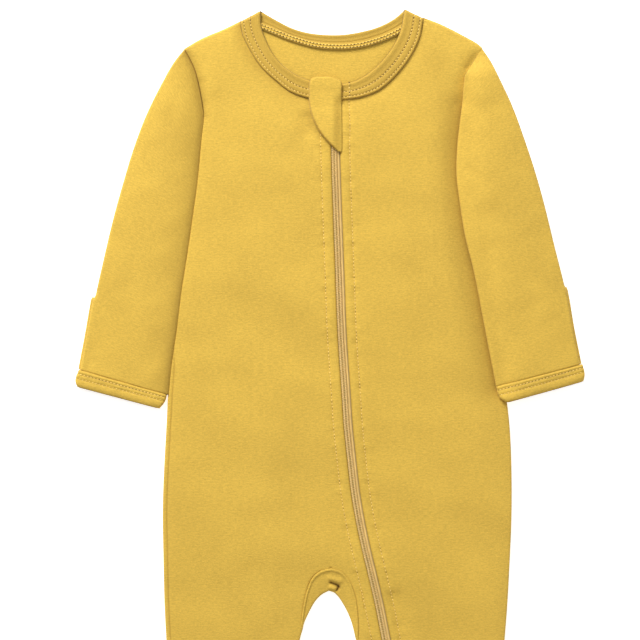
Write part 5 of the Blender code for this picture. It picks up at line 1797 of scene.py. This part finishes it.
    def mitt(self) -> Grid:
        """The mitten flap under the sleeve's end, folded up round its outer edge."""
        sections = self.sections()[0][-self.FLAP_SECTIONS:]
        outer, inner = sections[:, None, :2], sections[:, None, 2:]
        length = np.linalg.norm(inner - outer, axis=2)
        edge, turns = WALL / 2 - self.FLAP_OUT, self.FLAP_TURNS
        fold = edge + self.FLAP_RADIUS * (1.0 - np.cos(turns)) + 0.0 * length
        start = edge + self.FLAP_RADIUS
        shares = np.linspace(0.0, 1.0, self.FLAP_COLUMNS)
        flat = start + (length - self.FLAP_INSIDE - start) * shares
        place = np.concatenate((fold, flat), axis=1)[:, ::-1]
        up = np.concatenate((self.FLAP_RADIUS * (1.0 + np.sin(turns)), 0.0 * shares))[::-1]
        plan = outer + (inner - outer) * (place / length)[..., None]
        z = self.plan.base(plan[..., 0], plan[..., 1]) + up
        return Grid(plan, z, outward=self.sign)


# ------------------------------------------------------------------------- neck


@dataclass
class Neck(Part):
    """The neckband, from the zip round the back of the neck to the zip, and its inner tape."""

    WIDTH = 12.0
    ACROSS = (0.0, 0.35, 0.7, 1.1, 1.45, 1.7, 1.95, 2.3, 2.8, 3.5, 4.3, 5.0, 5.4, 5.7, 6.0, 6.4,
              7.1, 8.0, 9.0, 9.9, 10.6, 11.1, 11.5, 11.8, 12.0)
    PROFILE = ((0.0, 0.35, 0.75, 1.1, 1.4, 2.0, 2.3, 3.5, 5.0, 5.35, 6.05, 6.4, 8.5, 10.3, 11.1,
                11.7, 12.0),
               (-1.2, 0.15, 0.75, 0.6, -0.1, -0.1, 0.35, 0.5, 0.4, -0.15, -0.15, 0.2, 0.0, 0.45,
                0.5, 0.0, -0.9))
    STITCHES = ((1.7, 0.0), (5.7, 15.0))
    TURNS = (90.0, 68.0, 45.0, 22.0, 0.0, -22.0, -45.0, -68.0, -90.0)
    ROW = 0.65

    # How many rows each flat stretch leaves for a fold beside it, and where the stitches at the
    # front begin and end.
    TRIM = 5
    STITCH_START = 4
    STITCH_PAST = 3
    BEHIND_COLUMN = 4
    CROSS_SEAM_X = 15.0
    END_SINK = 0.6
    END_REACH = 1.2
    FRONT_FACING = 0.5
    BACK_DEPTH = 0.15

    TAPE_WALL = 0.9
    TAPE_ACROSS = (0.5, 0.3, 0.0, -0.5, -1.0, -1.5, -2.0, -2.5, -3.0, -3.3, -3.5)
    TAPE_SHARES = np.linspace(0.06, 0.94, 150)[:, None]
    TAPE_MIDDLE = -1.5
    TAPE_RISE = 0.35
    TAPE_SINK = 0.9
    TAPE_EDGE_REACH = 0.7
    TAPE_END_REACH = 1.5
    TAPE_SHADE = 0.8
    TAPE_SHADE_REACH = 0.6
    TAPE_RIBS = 0.1
    TAPE_RIB = 2.2

    def build(self) -> None:
        """Sew the band and the tape."""
        rib, knit = self.finishes.rib, self.finishes.knit
        self.room.sew("neckband", [self.band()], WALL, Cut(385, 17), rib, Slot.RIB)
        self.room.sew("neck_tape", [self.tape()], self.TAPE_WALL, Cut(128, 10), knit)

    def shoulder(self, seam_lines: Sequence[PlanLine], edge_lines: Sequence[PlanLine],
                 ends: tuple[float, float]) -> tuple[Array, ...]:
        """The starts, the stops and the heights of the rows round the fold at a shoulder."""
        run = unit(edge_lines[0].at(ends[0]) - seam_lines[0].at(ends[0]))
        outward = np.array((run[1], -run[0]))
        outward *= math.copysign(1.0, -outward[1])
        radius = (BAND_FRONT_Z - BAND_BACK_Z) / 2
        starts, stops, heights = [], [], []
        for degrees in self.TURNS:
            turn = math.radians(degrees)
            inward = BAND_WALL / 2 + radius * (1.0 - math.cos(turn))
            side = int(degrees < 0)
            for line, kept in ((seam_lines[side], starts), (edge_lines[side], stops)):
                end = ends[side]
                step = line.at(abs(end - PlanLine.NEAR)) - line.at(end)
                kept.append(line.at(end) - step * inward / np.dot(step, outward))
            heights.append(BAND_BACK_Z + radius * (1.0 + math.sin(turn)))
        return np.array(starts), np.array(stops), np.array(heights)

    def strip(self, seam: PlanLine, edge: PlanLine, z: float) -> tuple[Array, ...]:
        """The starts, the stops and the heights of the flat rows along one stretch."""
        shares = np.linspace(0.0, 1.0, round(seam.length / self.ROW))
        return seam.at(shares), edge.at(shares), np.full(len(shares), z)

    def band(self) -> Grid:
        """The band's grid, from its seam to its free edge."""
        front_right = self.strip(NECK_RIGHT, BAND_EDGE_RIGHT, BAND_FRONT_Z)
        front_left = self.strip(NECK_LEFT, BAND_EDGE_LEFT, BAND_FRONT_Z)
        back = self.strip(NECK_BACK, BAND_EDGE_BACK, BAND_BACK_Z)
        right = self.shoulder((NECK_RIGHT, NECK_BACK), (BAND_EDGE_RIGHT, BAND_EDGE_BACK), (0.0, 0.0))
        left = self.shoulder((NECK_LEFT, NECK_BACK), (BAND_EDGE_LEFT, BAND_EDGE_BACK), (1.0, 1.0))
        parts = ([values[self.TRIM:][::-1] for values in front_right], right,
                 [values[self.TRIM:-self.TRIM] for values in back],
                 [values[::-1] for values in left],
                 [values[:-self.TRIM][::-1] for values in front_left])
        starts, stops, heights = (np.concatenate(values) for values in zip(*parts))
        marks = np.cumsum([0, *(len(values[2]) for values in parts)])
        across = np.array(self.ACROSS)
        plan = starts[:, None] + (stops - starts)[:, None] * (across / self.WIDTH)[:, None]
        z = heights[:, None] + 0.0 * plan[..., 0]
        facing = (heights - BAND_BACK_Z) / (BAND_FRONT_Z - BAND_BACK_Z) * 2.0 - 1.0
        places = places_along(starts)[:, None]
        profile = np.interp(across, *self.PROFILE) + 0.0 * z
        # Painted shade: the band's grooves and its sunk seam edge are painted darker.
        shade = np.clip(-profile, 0.0, 1.0)
        from_end = np.minimum(places, places[-1] - places)
        profile = profile - self.END_SINK * rolled(from_end, self.END_REACH)
        profile = np.where(facing[:, None] < self.FRONT_FACING,
                           np.maximum(profile, -self.BACK_DEPTH), profile)
        grain = np.stack((places + 0.0 * z, across + 0.0 * z), axis=-1)
        grid = Grid(plan, z, profile * facing[:, None], shade, -1.0, False, grain)
        points, normals = grid.moved(WALL / 2), grid.normals
        right_part = slice(self.STITCH_START, marks[1] + self.STITCH_PAST)
        left_part = slice(marks[4] - self.STITCH_PAST, marks[5] - self.STITCH_START)
        for place, slant in self.STITCHES:
            column = self.ACROSS.index(place)
            for part in (right_part, left_part):
                self.seams.append(Seam(points[part, column], normals[part, column], -slant))
        behind = (slice(marks[2], marks[3]), self.BEHIND_COLUMN)
        self.seams.append(Seam(grid.moved(-WALL / 2)[behind], -normals[behind]))
        cross_row = marks[4] + int(np.abs(plan[marks[4]:, 0, 0] - self.CROSS_SEAM_X).argmin())
        self.seams.append(Seam(points[cross_row, 1:-1], normals[cross_row, 1:-1]))
        return grid

    def tape(self) -> Grid:
        """The narrow tape over the seam of the back neck."""
        shares = self.TAPE_SHARES
        across = np.array(self.TAPE_ACROSS)
        length = NECK_BACK.length
        plan = NECK_BACK.beside(shares + 0.0 * across, across[:, None])
        edge = np.minimum(across - across[-1], across[0] - across)
        end = np.minimum(shares - shares[0], shares[-1] - shares) * length
        z = np.full(plan.shape[:2], NECK_TAPE_Z)
        lift = (self.TAPE_RISE - self.TAPE_SINK * rolled(edge, self.TAPE_EDGE_REACH)
                - self.TAPE_SINK * rolled(end, self.TAPE_END_REACH))
        along = shares * length - np.abs(across - self.TAPE_MIDDLE)
        ribs = self.TAPE_RIBS * np.sin(2.0 * math.pi * along / self.TAPE_RIB)
        grain = np.stack((shares * length + 0.0 * across, 0.0 * shares + across), axis=-1)
        # Painted shade: the tape's turned-in edges are painted darker.
        shade = self.TAPE_SHADE * rolled(edge, self.TAPE_SHADE_REACH) + 0.0 * z
        grid = Grid(plan, z, lift + ribs, shade, 1.0, False, grain)
        points, normals = grid.moved(self.TAPE_WALL / 2), grid.normals
        for column in (3, len(across) - 4):
            self.seams.append(Seam(points[:, column], normals[:, column]))
        return grid


# ------------------------------------------------------------------------- zip and guard


@dataclass
class Zip(Part):
    """The tapes under the folded edges, the two coils between them and the enamelled slider."""

    TAPE_ROWS = 300
    TAPE_COLUMNS = (0.6, 1.0, 1.4, 1.9, 2.3, 2.7, 3.1, 3.5, 3.9, 4.4, 5.0, 6.0, 8.0, 12.5)
    TAPE_RIDGES = ((1.9, -0.35, 0.3), (3.3, 0.18, 0.45))
    SHADE_BEFORE_FOLD = (1.4, 0.5)
    SHADE_SINK = 0.4

    # The coil: its loops, its wire, how far its middle lies beside the zip's and below the front,
    # and how many points stand round each loop and round the wire.
    PITCH = 1.3
    LOOP = (0.78, 0.62)
    WIRE = 0.34
    MIDDLE = 1.02
    BELOW_FRONT = 0.28
    AROUND = 10
    SIDES = 6

    def build(self) -> None:
        """Lay the tapes and the coils and finish the slider and its pull."""
        for side in Side:
            self.room.sew(f"zip_tape_{side.word}", [self.tape(side)], TAPE_WALL, Cut(12.5, 526),
                          self.finishes.tape, Slot.ZIP_TAPE)
            mesh = self.coil(side)
            self.room.add(mesh, (self.finishes.coil,), Slot.ZIP_COIL, (f"zip_coil_{side.word}",))
        for node in ("zip_slider", "zip_pull"):
            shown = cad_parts[node]
            shown.data.materials.clear()
            shown.data.materials.append(self.finishes.enamel)

    def tape(self, side: Side) -> Grid:
        """One side of the tape, with a fine ridge along it."""
        downs = np.linspace(ZIP_START_DOWN, ZIP_END_DOWN, self.TAPE_ROWS)
        columns = np.array(self.TAPE_COLUMNS)
        x = ZIP_LINE.x_at(downs)[:, None] + side.value * columns
        plan = np.stack((x, downs[:, None] + 0.0 * x), axis=-1)
        z = np.maximum(FRONT.height(plan[..., 0], plan[..., 1]) - TAPE_BELOW_FRONT, TAPE_LOWEST)
        ridge = sum(height * mound(columns - place, width)
                    for place, height, width in self.TAPE_RIDGES)
        grain = np.stack((columns + 0.0 * x, plan[..., 1]), axis=-1)
        fold = FOLD_TO_RIGHT if side is Side.RIGHT else FOLD_TO_LEFT
        start, stop = (fold - before for before in self.SHADE_BEFORE_FOLD)
        # Painted shade: the tape is painted darker where it runs in under the folded edge, as its
        # shadow.
        shade = smoothstep(columns, start, stop) + 0.0 * z
        lift = np.maximum(ridge - self.SHADE_SINK * shade, TAPE_LOWEST - z)
        return Grid(plan, z, lift, shade, side.value, False, grain)

    def coil(self, side: Side) -> bpy.types.Mesh:
        """One coil: a wire wound round and round beside the zip's middle line."""
        turns = (ZIP_END_DOWN - COIL_START_DOWN) / self.PITCH
        angle = np.linspace(0.0, 2.0 * math.pi * turns, round(turns * self.AROUND))
        down = COIL_START_DOWN + angle / (2.0 * math.pi) * self.PITCH
        x = ZIP_LINE.x_at(down) + side.value * self.MIDDLE
        z = FRONT.height(x, down) - self.BELOW_FRONT
        radial = np.stack((np.cos(angle) * side.value, 0.0 * angle, np.sin(angle)), axis=1)
        middle = np.stack((x - MIDDLE_X, MIDDLE_DOWN - down, z), axis=1)
        points = middle + radial * np.array((self.LOOP[0], 0.0, self.LOOP[1]))
        ahead = unit(np.gradient(points, axis=0))
        beside = unit(np.cross(ahead, radial))
        rings = points[:, None] + self.WIRE * circles(self.SIDES, np.cross(beside, ahead), beside)
        faces = tube_faces(np.arange(rings[..., 0].size).reshape(-1, self.SIDES))
        mesh = bpy.data.meshes.new(f"zip_coil_{side.word}_wire")
        mesh.from_pydata((rings.reshape(-1, 3) * MM).tolist(), [], faces)
        mesh.shade_smooth()
        return mesh


@dataclass
class Guard(Part):
    """The leaf-shaped guard over the top of the zip: two layers turned in at the edge."""

    # A row of down, left x and right x for each level, as seen from the front.
    TABLE = ((51.8, -9.5, -1.0), (53.0, -12.8, 3.5), (56.0, -14.6, 8.3), (62.0, -14.9, 8.4),
             (70.0, -14.8, 8.5), (77.0, -13.8, 8.6), (86.0, -10.6, 8.7), (94.0, -6.0, 8.8),
             (101.0, 0.0, 8.8), (105.5, 4.8, 8.7), (107.7, 7.2, 8.5))
    STEPS = 6
    COLUMNS = 44
    SPREAD = (0.6, 0.4)
    TIP_POINTS = 20
    OVER_BAND = 6.1
    OVER_FRONT = 2.3
    BUMP = 1.8
    BUMP_DOWN = 87.0
    BUMP_SPAN = (12.0, 22.0)
    LAYER_WALL = 0.9

    # The two layers: how much larger than the outline, and how much higher than the middle.
    UPPER = (0.0, 0.55)
    UNDER = (0.7, -0.6)
    EDGE_SINK = 0.9
    EDGE_REACH = 1.5
    EDGE_SHADE = 0.5
    SHADE_REACH = 0.8

    # Where the sewn right edge comes down onto the front, and how high it lies over it.
    SEWN_X = (1.5, 9.6)
    SEWN_DOWN = (62.0, 74.0)
    SEWN_RISE = 1.1

    def build(self) -> None:
        """Sew the guard."""
        layers = [self.leaf(*self.UPPER), self.leaf(*self.UNDER)]
        self.room.sew("zip_guard", layers, self.LAYER_WALL, Cut(26, 60), self.finishes.knit)

    def height(self, x: Array, down: Array) -> Array:
        """The height of the guard's middle: over the neckband, the coils and the slider."""
        away = (x - ZIP_LINE.x_at(down)) / self.BUMP_SPAN[0]
        along = (down - self.BUMP_DOWN) / self.BUMP_SPAN[1]
        bump = self.BUMP * np.exp(-(away**2) - along**2)
        flat = np.maximum(self.OVER_BAND, FRONT.height(x, down) + self.OVER_FRONT)
        return flat + bump

    def leaf(self, grown: float, above: float) -> Grid:
        """One layer of the guard, some distance larger and higher than its outline."""
        rows = smooth_through(np.array(self.TABLE), self.STEPS)
        crowded = (1.0 - np.cos(np.linspace(0.0, math.pi, self.COLUMNS))) / 2
        even = np.linspace(0.0, 1.0, self.COLUMNS)
        across = self.SPREAD[0] * crowded + self.SPREAD[1] * even
        start, stop = rows[:, 1] - grown, rows[:, 2]
        x = start[:, None] + (stop - start)[:, None] * across
        down = rows[:, 0][:, None] + 0.0 * x
        sides = [np.stack((end, rows[:, 0]), axis=1) for end in (start, stop)]
        shares = np.linspace(0.0, 1.0, self.TIP_POINTS)
        tips = [straight(sides[0][k], sides[1][k])(shares) for k in (0, -1)]
        outline = np.concatenate((*sides, *tips))
        away = np.sqrt(((x[..., None] - outline[:, 0]) ** 2
                        + (down[..., None] - outline[:, 1]) ** 2).min(axis=-1))
        z = self.height(x, down) + above - self.EDGE_SINK * rolled(away, self.EDGE_REACH)
        sewn = smoothstep(x, *self.SEWN_X) * smoothstep(down, *self.SEWN_DOWN)
        z = z + sewn * (FRONT.height(x, down) + self.SEWN_RISE - z)
        # Painted shade: the turned-in edge is painted darker.
        shade = self.EDGE_SHADE * rolled(away, self.SHADE_REACH)
        return Grid(np.stack((x, down), axis=-1), z, shade=shade)


# ------------------------------------------------------------------------- studio


class Studio:
    """A white floor, a soft light above, one from the upper left and a camera straight above.

    The places are in metres. The floor glows a little, so that shadows on it stay faint.
    """

    WHITE = (1.0, 1.0, 1.0, 1.0)
    AIR_STRENGTH = 0.3
    CAMERA_PLACE = (-0.00765, 0.08713, 1.3373)
    LENS = 100.0
    FLOOR_COLOUR = (0.9, 0.9, 0.9, 1.0)
    FLOOR_GLOW = 0.6
    FLOOR_HALF = 4.0
    FLOOR_Z = -0.0002
    RIM_START = 0.8
    RIM_RISE = 0.3

    # Each light's name, place, aim, size and power.
    LIGHTS = (("overhead", (0.6, -0.18, 2.2), (0.0, 0.0, 0.0), 2.4, 14.8),
              ("window", (-0.8, 1.8, 1.2), (0.0, 0.12, 0.0), 0.9, 61.0))

    def build(self) -> None:
        """Set the stage."""
        scene = bpy.context.scene
        scene.view_settings.view_transform = "Standard"
        self.floor()
        for light in self.LIGHTS:
            self.light(*light)
        world = bpy.data.worlds.new("studio_air")
        world.use_nodes = True
        back = world.node_tree.nodes["Background"]
        back.inputs["Color"].default_value = self.WHITE
        back.inputs["Strength"].default_value = self.AIR_STRENGTH
        scene.world = world
        data = bpy.data.cameras.new("camera")
        data.lens = self.LENS
        camera = bpy.data.objects.new("camera", data)
        camera.location = self.CAMERA_PLACE
        scene.collection.objects.link(camera)
        scene.camera = camera

    def floor(self) -> None:
        """Lay the floor with a gently raised rim far outside the view."""
        mesh = bpy.data.meshes.new("studio_floor")
        ground = bmesh.new()
        bmesh.ops.create_grid(ground, x_segments=16, y_segments=16, size=self.FLOOR_HALF)
        for vert in ground.verts:
            far = max(abs(vert.co.x), abs(vert.co.y)) / self.FLOOR_HALF
            vert.co.z = self.RIM_RISE * max(far - self.RIM_START, 0.0) ** 2
        ground.to_mesh(mesh)
        ground.free()
        white = ShaderTree("studio_white").finish(Base_Color=self.FLOOR_COLOUR, Roughness=0.9,
                                                  Emission_Color=self.WHITE,
                                                  Emission_Strength=self.FLOOR_GLOW)
        mesh.materials.append(white)
        made = bpy.data.objects.new("studio_floor", mesh)
        made.location.z = self.FLOOR_Z
        bpy.context.scene.collection.objects.link(made)

    def light(self, name: str, place: tuple[float, float, float],
              aim: tuple[float, float, float], size: float, power: float) -> None:
        """Hang one soft square light."""
        data = bpy.data.lights.new(name, "AREA")
        data.size = size
        data.energy = power
        made = bpy.data.objects.new(name, data)
        made.location = place
        made.rotation_euler = (Vector(place) - Vector(aim)).to_track_quat("Z", "Y").to_euler()
        bpy.context.scene.collection.objects.link(made)


def main() -> None:
    """Build every piece, dress it and light it."""
    logging.basicConfig(level=logging.INFO, format="%(name)s %(message)s")
    room, finishes = Workroom(), Finishes()
    body, neck = Body(room, finishes), Neck(room, finishes)
    arms = [Arm(room, finishes, plan) for plan in ARMS]
    for part in (body, Crotch(room, finishes), Feet(room, finishes), *arms, neck,
                 Zip(room, finishes), Guard(room, finishes)):
        part.build()
    cuff_seams = [seam for arm in arms for seam in arm.seams]
    rows = (("zip_topstitch", Stitching(0.34, (0.3, 0.24), 0.05), body.seams),
            ("neck_topstitch", Stitching(0.36, (0.66, 0.5), 0.17), neck.seams),
            ("cuff_topstitch", Stitching(0.33, (0.55, 0.24), 0.08), cuff_seams))
    for name, stitching, seams in rows:
        room.add(stitching.mesh(name, seams), (finishes.thread, finishes.hole), Slot.KNIT)
    Studio().build()


if __name__ == "__main__":
    main()
